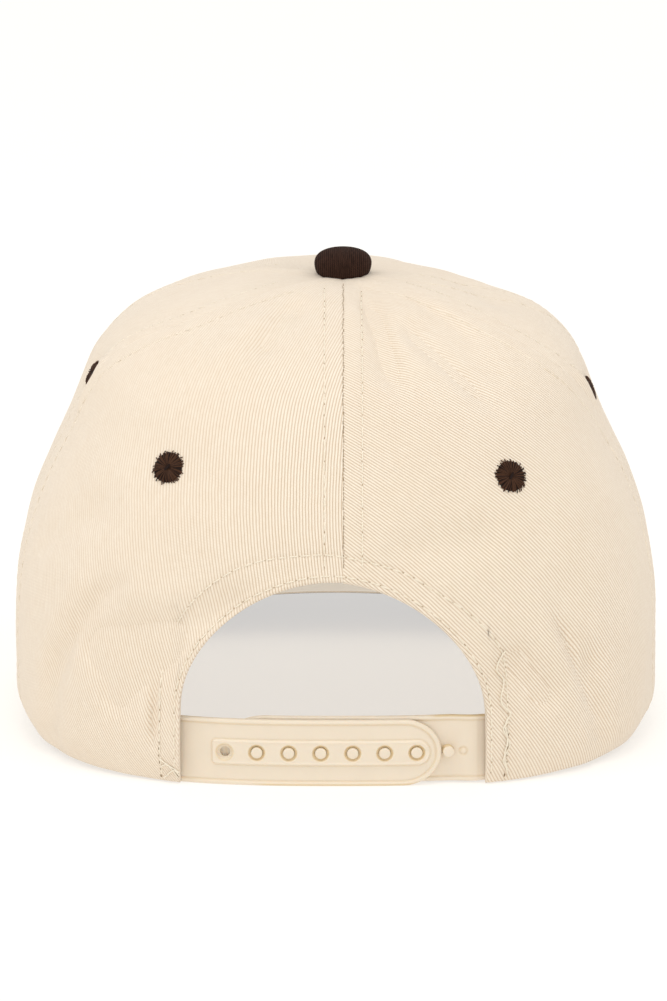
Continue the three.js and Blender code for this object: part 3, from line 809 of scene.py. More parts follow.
BACK_LEFT_RIBS = ((-25, -42, -40), (-15, -32, -35), (-5, -9, -25), (3, -8, -22), (5, -3, -10))
BACK_RIGHT_RIBS = ((-40, -33, -31), (-44, -35, -33), (-48, -38, -33), (-52, -42, -32), (-55, -42, -25))
back_left = sewn_panel(
    "back_panel_left_cloth", *[a[:, ::-1] for a in back_grid(-1, "back_left")],
    named_seam("centre"), named_seam("back_left"), BACK_LEFT_RIBS, cream_twill
)
back_right = sewn_panel(
    "back_panel_right_cloth", *back_grid(1, "back_right"),
    named_seam("centre"), named_seam("back_right"), BACK_RIGHT_RIBS, cream_twill
)
for piece, node in ((back_left, "back_panel_left"), (back_right, "back_panel_right")):
    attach(piece, "root")
    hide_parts(node)

# Top-stitching. Cream thread runs in twin rows beside every seam of the crown, in two rows round the
# half moon and down each strap end. Each stitch is a short length of thread that dives into the cloth.
THREAD_R = 0.2
FINE_THREAD_R = 0.10
FINE_RISE = 0.25
STITCH_LENGTH = 2.9
HOLE_R = 0.14
HOLE_LENGTH = 0.45
HOLES_SHOWN = 0.7
CENTRE_ROWS_FROM = 0.345
SEAM_ROWS_FROM = 0.012
SEAM_ROWS_TO = 0.93
ROWS_KEPT = (0.004, 0.975)
CREAM_THREAD = (0.90, 0.82, 0.685)
# CREAM_THREAD_TWIST_SHADE is painted shade between the thread's twists
CREAM_THREAD_TWIST_SHADE = (0.83, 0.735, 0.58)


def thread_material(name, colour, twist_shade_colour, sheen=0.0):
    """Spun thread: fine slanted ply lines, with painted light on the crown of each twist and painted shade
    between the twists.
    """
    material, tree, shader = new_material(name)
    place = tree.nodes.new("ShaderNodeUVMap")
    place.uv_map = "cloth"
    ply = tree.nodes.new("ShaderNodeTexWave")
    ply.bands_direction = "DIAGONAL"
    ply.inputs["Scale"].default_value = 1.4
    ply.inputs["Distortion"].default_value = 1.0
    tree.links.new(place.outputs[0], ply.inputs["Vector"])
    tree.links.new(blend(tree, twist_shade_colour, colour, ply.outputs["Fac"]), shader.inputs["Base Color"])
    bump(tree, shader, ply.outputs["Fac"], 0.05)
    shader.inputs["Roughness"].default_value = 0.6
    shader.inputs["Specular IOR Level"].default_value = 0.15
    shader.inputs["Sheen Weight"].default_value = sheen
    return material


cream_thread = thread_material("cream thread", CREAM_THREAD, CREAM_THREAD_TWIST_SHADE, 0.2)

# Along a stitch: share of its length from the middle, height over the cloth, and share of its thickness
STITCH_COURSE = np.array([
    (-0.5, -0.30, 0.7), (-0.36, 0.0, 1.0), (-0.12, 0.10, 1.0),
    (0.12, 0.10, 1.0), (0.36, 0.0, 1.0), (0.5, -0.30, 0.7),
])
THREAD_SIDES = 6


def tube(path, normals, radii):
    """Points, faces and thread coordinates of a round thread along a path."""
    along = unit(np.gradient(path, axis=0))
    side = unit(np.cross(along, normals))
    up = np.cross(side, along)
    turn = np.linspace(0, 2 * math.pi, THREAD_SIDES + 1)
    ring = np.cos(turn)[None, :, None] * side[:, None] + np.sin(turn)[None, :, None] * up[:, None]
    points = path[:, None] + ring * radii[:, None, None]
    uv = np.stack(np.broadcast_arrays(run_along(path)[:, None], turn[None] * radii.max()), -1)
    return points.reshape(-1, 3), grid_faces(len(path), THREAD_SIDES + 1), uv.reshape(-1, 2)


def gather(parts):
    """Joins several (points, faces, coordinates) into one."""
    points, faces, uvs, first = [], [], [], 0
    for p, f, uv in parts:
        points.append(p)
        faces.append(f + first)
        uvs.append(uv)
        first += len(p)
    return np.concatenate(points), np.concatenate(faces), np.concatenate(uvs)


def stitches(surface, angle, level, thread_r, pitch=STITCH_PITCH, length=STITCH_LENGTH, shift=0.6,
             waver=0.0, spread=0.0, rise=1.0):
    """Stitches along a line of angles and levels on a surface that gives points and directions. The first
    one's centre is so many pitches along, each may stray so many millimetres sideways, and be thinner by a
    share up to the spread."""
    run = run_along(surface(angle, level)[0])
    made = []
    centres = np.arange(pitch * shift, run[-1] - length / 2, pitch)
    shares, heights, widths = STITCH_COURSE.T
    places = centres[:, None] + shares * length * (1 + chance.uniform(-0.07, 0.05, (len(centres), 1)))
    at_angle = np.interp(places.ravel(), run, angle)
    at_level = np.interp(places.ravel(), run, level)
    points, out = surface(at_angle, at_level)
    points = points.reshape(len(centres), -1, 3)
    out = out.reshape(len(centres), -1, 3)
    for k in range(len(centres)):
        lift = rise * heights + chance.uniform(-0.03, 0.04)
        path = points[k] + out[k] * (lift + thread_r * 0.4)[:, None]
        path = path + unit(np.cross(path[-1] - path[0], out[k, 2])) * chance.uniform(-waver, waver)
        made.append(tube(path, out[k], thread_r * widths * chance.uniform(1 - spread, 1)))
    return made


def beside(angle, level, away):
    """A line moved sideways on the crown by so many millimetres."""
    steps = 4
    for _ in range(steps):
        here, by_angle, by_level = crown_slopes(angle, level)
        out = facing(smooth_crown, angle, level, SMOOTH_STEP)
        across = unit(np.cross(np.gradient(here, axis=0), out)) * (away / steps)
        angles, levels = (by_angle ** 2).sum(-1), (by_level ** 2).sum(-1)
        both_ways = (by_angle * by_level).sum(-1)
        by_a, by_l = (across * by_angle).sum(-1), (across * by_level).sum(-1)
        size = angles * levels - both_ways * both_ways
        angle = angle + (by_a * levels - by_l * both_ways) / size
        level = level + (by_l * angles - by_a * both_ways) / size
    return angle, level


chance = np.random.default_rng(11)
rows = []
for name in seam_lines:
    level = np.linspace(CENTRE_ROWS_FROM if name == "centre" else SEAM_ROWS_FROM, SEAM_ROWS_TO, 90)
    for away in (-ROW_OFFSET, ROW_OFFSET):
        angle_row, level_row = beside(seam_angle(name, level), level, away)
        kept = (level_row > ROWS_KEPT[0]) & (level_row < ROWS_KEPT[1])
        rows.append((angle_row[kept], level_row[kept], THREAD_R if name == "centre" else FINE_THREAD_R))
rows.append((outer_row_angle, outer_row_level, THREAD_R))
for side in (-1, 1):
    angle_row, level_row = beside(*on_back(*half_moon(side)), -side * HEM_ROW)
    kept = level_row > 0.003
    rows.append((angle_row[kept], level_row[kept], THREAD_R))
sewn = []
pierced = []
for angle_row, level_row, thread_r in rows:
    distinct = thread_r == THREAD_R
    sewn += stitches(cloth, angle_row, level_row, thread_r, rise=1.0 if distinct else FINE_RISE)
    # Needle holes in the distinct rows: small specks, coloured as painted shade
    if distinct:
        specks = stitches(
            cloth, angle_row, level_row, HOLE_R, STITCH_PITCH, HOLE_LENGTH, shift=0.1, waver=0.15, spread=0.6
        )
        pierced += [speck for speck in specks if chance.random() < HOLES_SHOWN]

# Loose thread: a back-tack across the left strap end and a slack end beside the right one. Degrees and
# level along each, and how high it stands off the cloth.
LOOSE_THREADS = (
    (((-33.3, 0.036), (-32.2, 0.030), (-31.0, 0.024), (-29.8, 0.017)), 0.30),
    (((-33.3, 0.022), (-32.4, 0.028), (-31.4, 0.024), (-30.2, 0.008)), 0.25),
    (((-32.9, 0.004), (-32.0, 0.012), (-30.8, 0.020), (-29.9, 0.012)), 0.28),
    (((32.2, 0.212), (30.5, 0.183), (31.8, 0.164), (31.2, 0.132), (32.9, 0.112), (31.9, 0.096), (32.3, 0.070),
      (31.8, 0.045), (33.0, 0.007)), 0.45),
    (((32.6, 0.100), (31.6, 0.086), (32.7, 0.062), (31.7, 0.040), (32.6, 0.020)), 0.30),
)
LOOSE_R = 0.24
for line, lift in LOOSE_THREADS:
    stops = np.arange(len(line), dtype=float)
    fine = np.linspace(0, len(line) - 1, 12 * len(line))
    path, out = cloth(
        np.radians(spline(stops, np.array([p[0] for p in line]))(fine)),
        np.maximum(spline(stops, np.array([p[1] for p in line]))(fine), LOWEST)
    )
    sewn.append(tube(path + out * lift, out, np.full(len(fine), LOOSE_R)))
points, faces, uv = gather(sewn)
top_stitching = new_piece("crown_top_stitching", points, faces, cream_thread, uv)

# Seam shade. Down the centre back the panels pull a little apart, and the thread that joins them shows in the
# gap as a line of short stitches, coloured dark as painted shade in the gap. The needle's holes show as paler
# brown specks of painted shade. On the strap ends, dark specks of painted shade mark the stitch rows. Specks
# on the strap ends: degrees, and the levels from and to.
SEAM_GAP_SHADE = (0.36, 0.26, 0.155)
DEEP_SEAM_GAP_SHADE = (0.25, 0.17, 0.095)
NEEDLE_HOLE_SHADE = (0.47, 0.35, 0.22)
DEEP_NEEDLE_HOLE_SHADE = (0.40, 0.29, 0.17)
SEAM_PITCH = 2.85
SEAM_STITCH = 1.5
CENTRE_SEAM = (0.342, 0.955)
TAB_SPECKS = ((-33.4, 0.002, 0.068), (32.4, 0.004, 0.085))
seam_gap_shade = thread_material("seam gap shade", SEAM_GAP_SHADE, DEEP_SEAM_GAP_SHADE)
needle_hole_shade = thread_material("needle hole shade", NEEDLE_HOLE_SHADE, DEEP_NEEDLE_HOLE_SHADE)
level = np.linspace(*CENTRE_SEAM, 120)
centre_line = seam_angle("centre", level)
dark = []
for thread_r, shift, waver, spread in ((0.12, 0.5, 0.12, 0.3), (0.09, 1.0, 0.22, 0.5)):
    dark += stitches(cloth, centre_line, level, thread_r, SEAM_PITCH, SEAM_STITCH, shift, waver, spread)
# Dark specks of painted shade along the stitch rows of the strap ends
for degrees, low, high in TAB_SPECKS:
    level = np.linspace(low, high, 30)
    dark += stitches(
        cloth, np.full_like(level, math.radians(degrees)), level, THREAD_R, 2.2, 0.9, shift=0.4, waver=0.2,
        spread=0.5
    )
dark_faces = sum(len(part[1]) for part in dark)
points, faces, uv = gather(dark + pierced)
seam_shade_marks = new_piece(
    "crown_seam_shade_marks", points, faces, seam_gap_shade, uv, needle_hole_shade, np.arange(len(faces)) >= dark_faces
)
for piece in (top_stitching, seam_shade_marks):
    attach(piece, "root")

# Eyelets. Air holes worked over in dark brown thread: a low padded ring wound with radial stitches that end
# unevenly in the cloth round it and dive into the middle. There the hole is a dark slit of painted shade, the
# pad shows between the strands in the same dark colour as painted shade, and every third strand is darker.
# Degrees, level, how much each is drawn in, and how far it is raised where the cloth curves sharply.
EYELETS = (
    ("eyelet_back_left", -36.7, 0.484, 1.0, 0.0),
    ("eyelet_back_right", 37.8, 0.470, 1.0, 0.0),
    ("eyelet_side_left", -80.3, 0.579, 0.80, 0.30),
    ("eyelet_side_right", 82.8, 0.543, 0.80, 0.45),
)
EYELET_R = 5.1
EYELET_STRANDS = 72
BROWN_THREAD = ((0.098, 0.043, 0.022), (0.050, 0.021, 0.010))
DARK_BROWN_THREAD_AND_SHADE = ((0.026, 0.010, 0.005), (0.013, 0.005, 0.003))
brown_thread = thread_material("brown thread", *BROWN_THREAD)
dark_thread_and_shade = thread_material("dark brown thread and shade", *DARK_BROWN_THREAD_AND_SHADE)

# Radius and height along a strand, its thickness by radius, the pad under it by radius and height, and
# the slit's long and short radius, slant and height
STRAND_COURSE = np.array([
    (0.30, 0.08), (0.80, 0.36), (1.7, 0.66), (2.8, 0.80), (3.9, 0.64), (4.7, 0.30), (5.1, -0.15),
])
STRAND_R = ([0.3, 2.0, 5.0], [0.05, 0.13, 0.18])
PAD = np.array([(0.02, 0.05), (0.8, 0.20), (1.5, 0.42), (2.8, 0.58), (4.0, 0.38), (4.75, -0.1)])
SLIT = (1.25, 0.42, 0.9, 0.62)
SLIT_RINGS = 4
EYELET_POINTS = 49


def round_place(degrees, level, raised):
    """A function that gives points above the cloth from millimetres right and up of a place."""
    angle = np.array(math.radians(degrees))
    level = np.array(level)
    _, by_angle, by_level = crown_slopes(angle, level)
    right = unit(by_angle)
    up = unit(by_level - (by_level @ right) * right)

    def at(x, y, lift):
        levels = level + y / (by_level @ up)
        angles = angle + (x - (levels - level) * (by_level @ right)) / np.linalg.norm(by_angle)
        points, out = cloth(angles, levels)
        return points + out * (lift + raised)[..., None], out

    return at


for name, degrees, level, size, raised in EYELETS:
    at = round_place(degrees, level, raised)
    strands = []
    for k in range(EYELET_STRANDS):
        reach = chance.uniform(0.88, 1.08)
        radius = STRAND_COURSE[:, 0] * np.where(STRAND_COURSE[:, 0] > 3, reach, 1)
        start = 2 * math.pi * (k + chance.uniform(-0.35, 0.35)) / EYELET_STRANDS
        turn = start + chance.uniform(-0.10, 0.10) * radius / EYELET_R
        lift = STRAND_COURSE[:, 1] + chance.uniform(-0.10, 0.12)
        path, out = at(size * radius * np.cos(turn), size * radius * np.sin(turn), lift)
        strands.append(tube(path, out, np.interp(radius, *STRAND_R)))
    turn = np.linspace(0, 2 * math.pi, EYELET_POINTS)
    pad_r = size * PAD[:, 0:1]
    pad, _ = at(pad_r * np.cos(turn), pad_r * np.sin(turn), PAD[:, 1:2] * np.ones(EYELET_POINTS))
    long_r, short_r, slant, slit_lift = SLIT
    share = np.linspace(0.02, 1, SLIT_RINGS)[:, None]
    slit_x = share * (long_r * np.cos(turn) * math.cos(slant) - short_r * np.sin(turn) * math.sin(slant))
    slit_y = share * (long_r * np.cos(turn) * math.sin(slant) + short_r * np.sin(turn) * math.cos(slant))
    slit, _ = at(slit_x, slit_y, slit_lift + 0.12 * share * np.ones(EYELET_POINTS))
    for rings in (pad, slit):
        strands.append((
            rings.reshape(-1, 3), grid_faces(len(rings), EYELET_POINTS), np.zeros((rings[..., 0].size, 2))
        ))
    points, faces, uv = gather(strands)
    per_strand = len(strands[0][1])
    wound = EYELET_STRANDS * per_strand
    # Every third strand, the pad and the slit take the darker material; on the pad and the slit it is painted
    # shade
    deep = (np.arange(len(faces)) // per_strand % 3 == 0) | (np.arange(len(faces)) >= wound)
    eyelet = new_piece(name + "_thread", points, faces, brown_thread, uv, dark_thread_and_shade, deep)
    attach(eyelet, "root")
    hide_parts(name)

# Top button. A domed metal button covered in dark brown ribbed cotton, drawn tight underneath and
# riveted through the middle of the crown where all the panels meet.
BROWN_CLOTH = (0.046, 0.021, 0.0135)
# BROWN_GROOVE_SHADE is painted shade in the grooves of the brown twill
BROWN_GROOVE_SHADE = (0.005, 0.0022, 0.0015)
BROWN_RIB_PITCH = 0.62
brown_twill = twill_material(
    "brown twill", BROWN_CLOTH, BROWN_GROOVE_SHADE, BROWN_RIB_PITCH, 0.30, 0.0, False, 1.6
)
BUTTON_PROFILE = (
    (6.6, -0.9), (7.5, -0.4), (8.25, 0.7), (8.65, 2.1), (8.75, 3.5), (8.45, 4.7), (7.7, 5.8), (6.4, 6.7),
    (4.6, 7.35), (2.5, 7.7), (0.02, 7.8),
)
BUTTON_PLACE = np.array([SEAM_X, CAP_Y, 138.3])
BUTTON_RINGS = 40
BUTTON_POINTS = 97
GATHERS = 14
GATHER_DEPTH = 0.012
GATHER_FADE = 3
COVER_FALL = 1.2
profile = np.array(BUTTON_PROFILE)
profile_run = run_along(profile)
fine_run = np.linspace(0, profile_run[-1], BUTTON_RINGS)
button_r = spline(profile_run, profile[:, 0])(fine_run)
button_z = spline(profile_run, profile[:, 1])(fine_run)
button_turn = np.linspace(0, 2 * math.pi, BUTTON_POINTS)
gathers = 1 + GATHER_DEPTH * np.sin(GATHERS * button_turn)[None] * np.exp(-fine_run / GATHER_FADE)[:, None]
ring_x = button_r[:, None] * gathers * np.cos(button_turn)[None]
ring_y = button_r[:, None] * gathers * np.sin(button_turn)[None]
ring_z = np.broadcast_to(button_z[:, None], ring_x.shape)
button_points = BUTTON_PLACE + np.stack([ring_x, ring_y, ring_z], -1)
button_uv = np.stack([ring_x, ring_y + ring_z * COVER_FALL], -1)
button = new_piece(
    "button_cover", button_points.reshape(-1, 3), grid_faces(BUTTON_RINGS, BUTTON_POINTS), brown_twill,
    button_uv.reshape(-1, 2)
)
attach(button, "root")
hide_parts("button")

# Brim. A curved board between two layers of dark brown twill, with its edge bound and rows of
# stitching that follow the edge. It is sewn to the front of the rim.
BRIM_THICK = 2.6
BRIM_HALF_SPAN = math.radians(56)
BRIM_SEAT_LEVEL = 0.02
BRIM_SEAT_RISE = 1.5
BRIM_SEAT_GAP = 0.4
BRIM_CENTRE_Y = 70.0
BRIM_HALF_WIDTH = 88.5
BRIM_DEPTH = 84.2
BRIM_BACK_DEPTH = 60.0
BRIM_SQUARENESS = 2.4
BRIM_CROWNING = 1.2
BRIM_REACH = 68.0
BRIM_BINDING = 0.75

# Height of the brim's edge, by degrees from straight ahead
BRIM_EDGE = np.array([(0, 15.0), (30, 12.0), (60, 5.2), (80, 2.48), (99, 9.0)])
brim_edge_height = spline(BRIM_EDGE[:, 0], BRIM_EDGE[:, 1])


def brim_top(along, out):
    """The brim's upper face: along from -1 to 1, out from the crown's seam to the edge."""
    angle = math.pi - BRIM_HALF_SPAN * along
    seat = smooth_crown(angle, np.full_like(angle, BRIM_SEAT_LEVEL))
    radial = np.stack([seat[..., 0], seat[..., 1] - CAP_Y, np.zeros_like(angle)], -1)
    seat = seat + unit(radial) * BRIM_SEAT_GAP
    seat[..., 2] = smooth_crown(angle, np.zeros_like(angle))[..., 2] + BRIM_SEAT_RISE
    turn = np.radians(BRIM_EDGE[-1, 0]) * along
    side, ahead = np.sin(turn), np.cos(turn)
    deep = np.where(ahead > 0, BRIM_DEPTH, BRIM_BACK_DEPTH)
    power = BRIM_SQUARENESS
    radius = ((np.abs(side) / BRIM_HALF_WIDTH) ** power + (np.abs(ahead) / deep) ** power) ** (-1 / power)
    height = brim_edge_height(BRIM_EDGE[-1, 0] * np.abs(along))
    edge = np.stack([radius * side, CAP_Y + BRIM_CENTRE_Y + radius * ahead, height], -1)
    points = seat + (edge - seat) * out[..., None]
    points[..., 2] += 4 * BRIM_CROWNING * out * (1 - out) * (1 - along * along)
    return points


# Stitch rows by share of the way out, each sunk into the cloth, and the steps over the bound edge
BRIM_ROWS = (0.30, 0.42, 0.54, 0.66, 0.78, 0.90)
BRIM_ROW_SINK = 0.22
BRIM_ROW_WIDTH = 0.7
BRIM_ROW_REACH = 0.97
BRIM_TURN = (0.14, 0.35, 0.65, 0.86)


def brim_cloth(along, out):
    """The brim's cloth, sunk along each stitch row, with its outward direction."""
    step = SMOOTH_STEP
    right = brim_top(along + step, out) - brim_top(along - step, out)
    ahead = brim_top(along, out + step) - brim_top(along, out - step)
    up = unit(np.cross(right, ahead))
    up = up * np.sign(up[..., 2:3])
    sink = sum(BRIM_ROW_SINK * bell((out - row) * BRIM_REACH, BRIM_ROW_WIDTH) for row in BRIM_ROWS)
    return brim_top(along, out) - up * sink[..., None], up


brim_along, brim_out = np.meshgrid(np.linspace(-1, 1, 221), spaced(BRIM_REACH, 0.5, 3, 0.8), indexing="ij")
upper, _ = brim_cloth(brim_along, brim_out)
lower = upper - np.array([0, 0, BRIM_THICK])
outward = unit(upper[:, -1] - upper[:, -2]) * np.array([1, 1, 0])
bound = [
    upper[:, -1] + (lower[:, -1] - upper[:, -1]) * s + outward * (BRIM_BINDING * math.sin(math.pi * s))
    for s in BRIM_TURN
]
brim_columns = np.concatenate([upper, np.stack(bound, 1), lower[:, ::-1]], 1)
BIAS = 0.7071
bias_cut = brim_columns[..., :2] @ np.array([[BIAS, -BIAS], [BIAS, BIAS]])
brim = new_piece(
    "brim_cloth", brim_columns.reshape(-1, 3), grid_faces(*brim_columns.shape[:2])[:, ::-1], brown_twill,
    bias_cut.reshape(-1, 2)
)
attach(brim, "root")
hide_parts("brim")

brim_sewn = []
for row in BRIM_ROWS:
    along = np.linspace(-BRIM_ROW_REACH, BRIM_ROW_REACH, 240)
    brim_sewn += stitches(brim_cloth, along, np.full_like(along, row), 0.22, pitch=3.0, length=2.4)
points, faces, uv = gather(brim_sewn)
brim_stitching = new_piece("brim_stitching", points, faces, brown_thread, uv)
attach(brim_stitching, "root")

# Snap strap, outer half. A moulded strip of soft cream plastic, sewn into the left strap end. It has a
# flat rim, a raised plate with a cone round each of its seven holes, and a rounded free end.
STRAP_X = -0.7
STRAP_HEIGHT = 20.4
STRAP_THICK = 1.6
STRAP_INSET = 2.1
STRAP_REACH = 52.5
STRAP_END_X = 32.1
STRAP_ROUND = 11.3
HOLES = 7
HOLE_PITCH = 9.5
FIRST_HOLE_X = -32.3
HOLE_Z = 10.2
OPEN_HOLE_R = 1.45
PEG_HOLE_R = 1.78
CONE_R = 2.6
CONE_SINK = 0.9
CONE_LIP = 0.06
PLATE_FROM = -36.1
PLATE_TO = 28.7
PLATE_HALF_HEIGHT = 3.8
PLATE_RISE = 0.45
PLATE_CORNER = 1.3
EDGE_RADIUS = 0.7
RIM_WIDTH = 1.2
RIM_RISE = 0.32
RIM_GROOVE = 0.12
PLASTIC = (0.755, 0.655, 0.520)
# PAINTED_SHADE_PLASTIC is painted shade: the deeper tan that grooves, rings and edges take
PAINTED_SHADE_PLASTIC = (0.690, 0.530, 0.310)


def moulded_plastic():
    """Soft satin plastic: faint mottling, a fine moulded grain and gently varied gloss. Its grooves, rings
    and edges, which its attribute marks, take painted shade in a deeper tan."""
    material, tree, shader = new_material("cream plastic")
    place = tree.nodes.new("ShaderNodeTexCoord").outputs["Object"]
    mottle = noise(tree, place, 180, 3)
    dark, light = [tuple(c * share for c in PLASTIC) for share in (0.97, 1.03)]
    painted_shade = tree.nodes.new("ShaderNodeAttribute")
    painted_shade.attribute_name = "painted_shade"
    tone = blend(tree, blend(tree, dark, light, mottle), PAINTED_SHADE_PLASTIC, painted_shade.outputs["Fac"])
    tree.links.new(tone, shader.inputs["Base Color"])
    gloss = value(tree, "ADD", 0.38, value(tree, "MULTIPLY", mottle, 0.12))
    tree.links.new(gloss, shader.inputs["Roughness"])
    bump(tree, shader, noise(tree, place, 2600), 0.03, 0.25)
    shader.inputs["Subsurface Weight"].default_value = 0.15
    shader.inputs["Subsurface Radius"].default_value = (0.002, 0.0014, 0.0009)
    shader.inputs["Subsurface Scale"].default_value = 1.0
    return material


cream_plastic = moulded_plastic()


def strap_depth(x):
    """Y of the back's outer face at the rim, which both strap halves follow."""
    _, _, half_width, back, _, power = CROWN[0]
    return CAP_Y - back * (1 - (np.abs(x) / half_width) ** power) ** (1 / power)


def strap_face(x, z, inset, out):
    """A point of a strap: so far behind the back's outer face, and so far out of its own front."""
    step = 0.01
    slope = (strap_depth(x + step) - strap_depth(x - step)) / (2 * step)
    length = np.sqrt(1 + slope ** 2)
    back = np.stack([slope / length, -1 / length], -1)
    y = strap_depth(x) + inset
    return np.stack([x + back[..., 0] * out, y + back[..., 1] * out, z], -1)


def stadium(x, z, low, high, flat_x, round_x, round_length):
    """Depth inside a strip that is square at flat_x and round at round_x, negative outside."""
    toward = 1 if round_x > flat_x else -1
    half = (high - low) / 2
    beyond = np.maximum(toward * (x - round_x) + round_length, 0) / round_length
    spread = np.hypot(beyond, (z - (low + high) / 2) / half)
    return np.minimum((1 - spread) * half, toward * (x - flat_x))


def hole_cut(grid_x, grid_z, holes):
    """Moves the grid's points beside each hole onto its edge, and tells which cells the holes take."""
    grid_x, grid_z = grid_x.copy(), grid_z.copy()
    inside = np.zeros(grid_x.shape, bool)
    for x, z, radius in holes:
        away = np.hypot(grid_x - x, grid_z - z)
        within = away < radius
        beside_it = np.zeros_like(within)
        for down in (-1, 0, 1):
            for over in (-1, 0, 1):
                beside_it |= np.roll(within, (down, over), (0, 1))
        beside_it &= ~within
        grid_x[beside_it] = x + (grid_x[beside_it] - x) * radius / away[beside_it]
        grid_z[beside_it] = z + (grid_z[beside_it] - z) * radius / away[beside_it]
        inside |= within
    cut = inside[:-1, :-1] | inside[1:, :-1] | inside[:-1, 1:] | inside[1:, 1:]
    return grid_x, grid_z, cut


def hole_walls(cut, rows, count):
    """Faces down the inside of each hole, from the front grid to the back grid."""
    walls = []
    for j, i in zip(*np.nonzero(cut[:-1] != cut[1:])):
        a, b = (j + 1) * rows + i, (j + 1) * rows + i + 1
        walls.append((a, b, b + count, a + count) if cut[j, i] else (b, a, a + count, b + count))
    for j, i in zip(*np.nonzero(cut[:, :-1] != cut[:, 1:])):
        a, b = j * rows + i + 1, (j + 1) * rows + i + 1
        walls.append((b, a, a + count, b + count) if cut[j, i] else (a, b, b + count, a + count))
    return np.array(walls, int).reshape(-1, 4)


# Marks how much painted shade each point of a plastic piece takes
def mark_painted_shade(piece, painted_shade):
    attribute = piece.data.attributes.new("painted_shade", "FLOAT", "POINT")
    attribute.data.foreach_set("value", np.clip(painted_shade, 0, 1).astype(np.float32))


def moulded_strip(name, ends, low, round_length, inset_at, front_relief, front_painted_shade, columns, rows, holes):
    """A bent strip with one round end, its front in relief, holes through it and soft edges all round."""
    high = low + STRAP_HEIGHT
    flat_x, round_x = ends
    toward = 1 if round_x > flat_x else -1
    straight = round_x - toward * round_length
    body = np.linspace(flat_x, straight, columns, endpoint=False)
    turn = np.linspace(0, math.pi / 2, int(columns * 0.35) + 20)
    x = np.concatenate([body, straight + toward * round_length * np.sin(turn)])
    beyond = np.clip(toward * (x - straight) / round_length, 0, 1)
    half = (high - low) / 2 * np.sqrt(np.maximum(1 - beyond ** 2, 1e-6))
    across = np.sin(np.linspace(-math.pi / 2, math.pi / 2, rows))
    across = 0.35 * across + 0.65 * np.linspace(-1, 1, rows)
    grid_x = np.broadcast_to(x[:, None], (len(x), rows))
    grid_z = (low + high) / 2 + half[:, None] * across[None]
    grid_x, grid_z, cut = hole_cut(grid_x, grid_z, holes)
    depth = np.maximum(stadium(grid_x, grid_z, low, high, flat_x - 3 * toward, round_x, round_length), 0)
    from_edge = np.maximum(EDGE_RADIUS - depth, 0)
    fall = EDGE_RADIUS - np.sqrt(np.maximum(EDGE_RADIUS ** 2 - from_edge ** 2, 0))
    inset = inset_at(grid_x)
    front = strap_face(grid_x, grid_z, inset, front_relief(grid_x, grid_z, depth) - fall)
    back = strap_face(grid_x, grid_z, inset, -STRAP_THICK + fall)
    count = front[..., 0].size
    points = np.concatenate([front.reshape(-1, 3), back.reshape(-1, 3)])
    faces = grid_faces(len(x), rows)[~cut.ravel()]
    bottom = np.arange(len(x)) * rows
    top = bottom + rows - 1
    butt = np.arange(rows)
    tip = bottom[-1] + butt
    sides = [
        np.stack([edge[:-1], edge[1:], count + edge[1:], count + edge[:-1]], 1)
        for edge in (bottom, top[::-1], butt[::-1], tip)
    ]
    faces = np.concatenate([faces, faces[:, ::-1] + count, *sides, hole_walls(cut, rows, count)])
    if toward < 0:
        faces = faces[:, ::-1]
    strip = new_piece(name, points, faces, cream_plastic)
    mark_painted_shade(strip, np.concatenate([front_painted_shade(grid_x, grid_z, depth).ravel(), np.zeros(count)]))
    return strip


# The row of holes, and past them the place of the one peg that stays free
*hole_x, free_peg_x = STRAP_X + FIRST_HOLE_X + HOLE_PITCH * np.arange(HOLES + 1)


def raised_rim(depth):
    """A flat rim along the strip's edge, with a fine groove inside it."""
    rim = RIM_RISE * (1 - smooth_step(depth, RIM_WIDTH - 0.15, RIM_WIDTH + 0.25))
    return rim - RIM_GROOVE * bell(depth - RIM_WIDTH - 0.45, 0.2)


def rim_painted_shade(depth):
    """How much painted shade the groove beside the rim takes."""
    return 0.45 * bell(depth - RIM_WIDTH - 0.3, 0.28)


def in_plate(x, z):
    """Depth inside the raised plate, whose square end has round corners."""
    low, high = HOLE_Z - PLATE_HALF_HEIGHT, HOLE_Z + PLATE_HALF_HEIGHT
    plate = stadium(x, z, low, high, STRAP_X + PLATE_FROM, STRAP_X + PLATE_TO, PLATE_HALF_HEIGHT)
    from_end = np.maximum(PLATE_CORNER - (x - STRAP_X - PLATE_FROM), 0)
    from_side = np.maximum(PLATE_CORNER - (PLATE_HALF_HEIGHT - np.abs(z - HOLE_Z)), 0)
    return np.minimum(plate, PLATE_CORNER - np.hypot(from_end, from_side))


# The lower edge of the outer half takes painted shade between these places
SHADED_LOWER_EDGE = (-23.0, 23.6)


def outer_half_painted_shade(x, z, depth):
    """Painted shade in the grooves beside the rim and the plate, in the ring round each peg and round the
    first hole, and along the lower edge.
    """
    painted_shade = rim_painted_shade(depth) + 0.35 * bell(in_plate(x, z) + 0.2, 0.22)
    for place in hole_x:
        away = np.hypot(x - place, z - HOLE_Z)
        ring = smooth_step(away, 1.2, 1.7) * (1 - smooth_step(away, CONE_R - 0.25, CONE_R + 0.1))
        if place == hole_x[0]:
            ring = 0.25 * ring + 0.6 * bell(away - CONE_R, 0.2)
        painted_shade = np.maximum(painted_shade, ring)
    below = (1 - smooth_step(depth, 0.55, 0.85)) * (z < HOLE_Z)
    start, end = SHADED_LOWER_EDGE
    along = smooth_step(x, start - 3, start + 3) * (1 - smooth_step(x, end - 2, end + 2))
    return np.maximum(painted_shade, 0.8 * below * along)


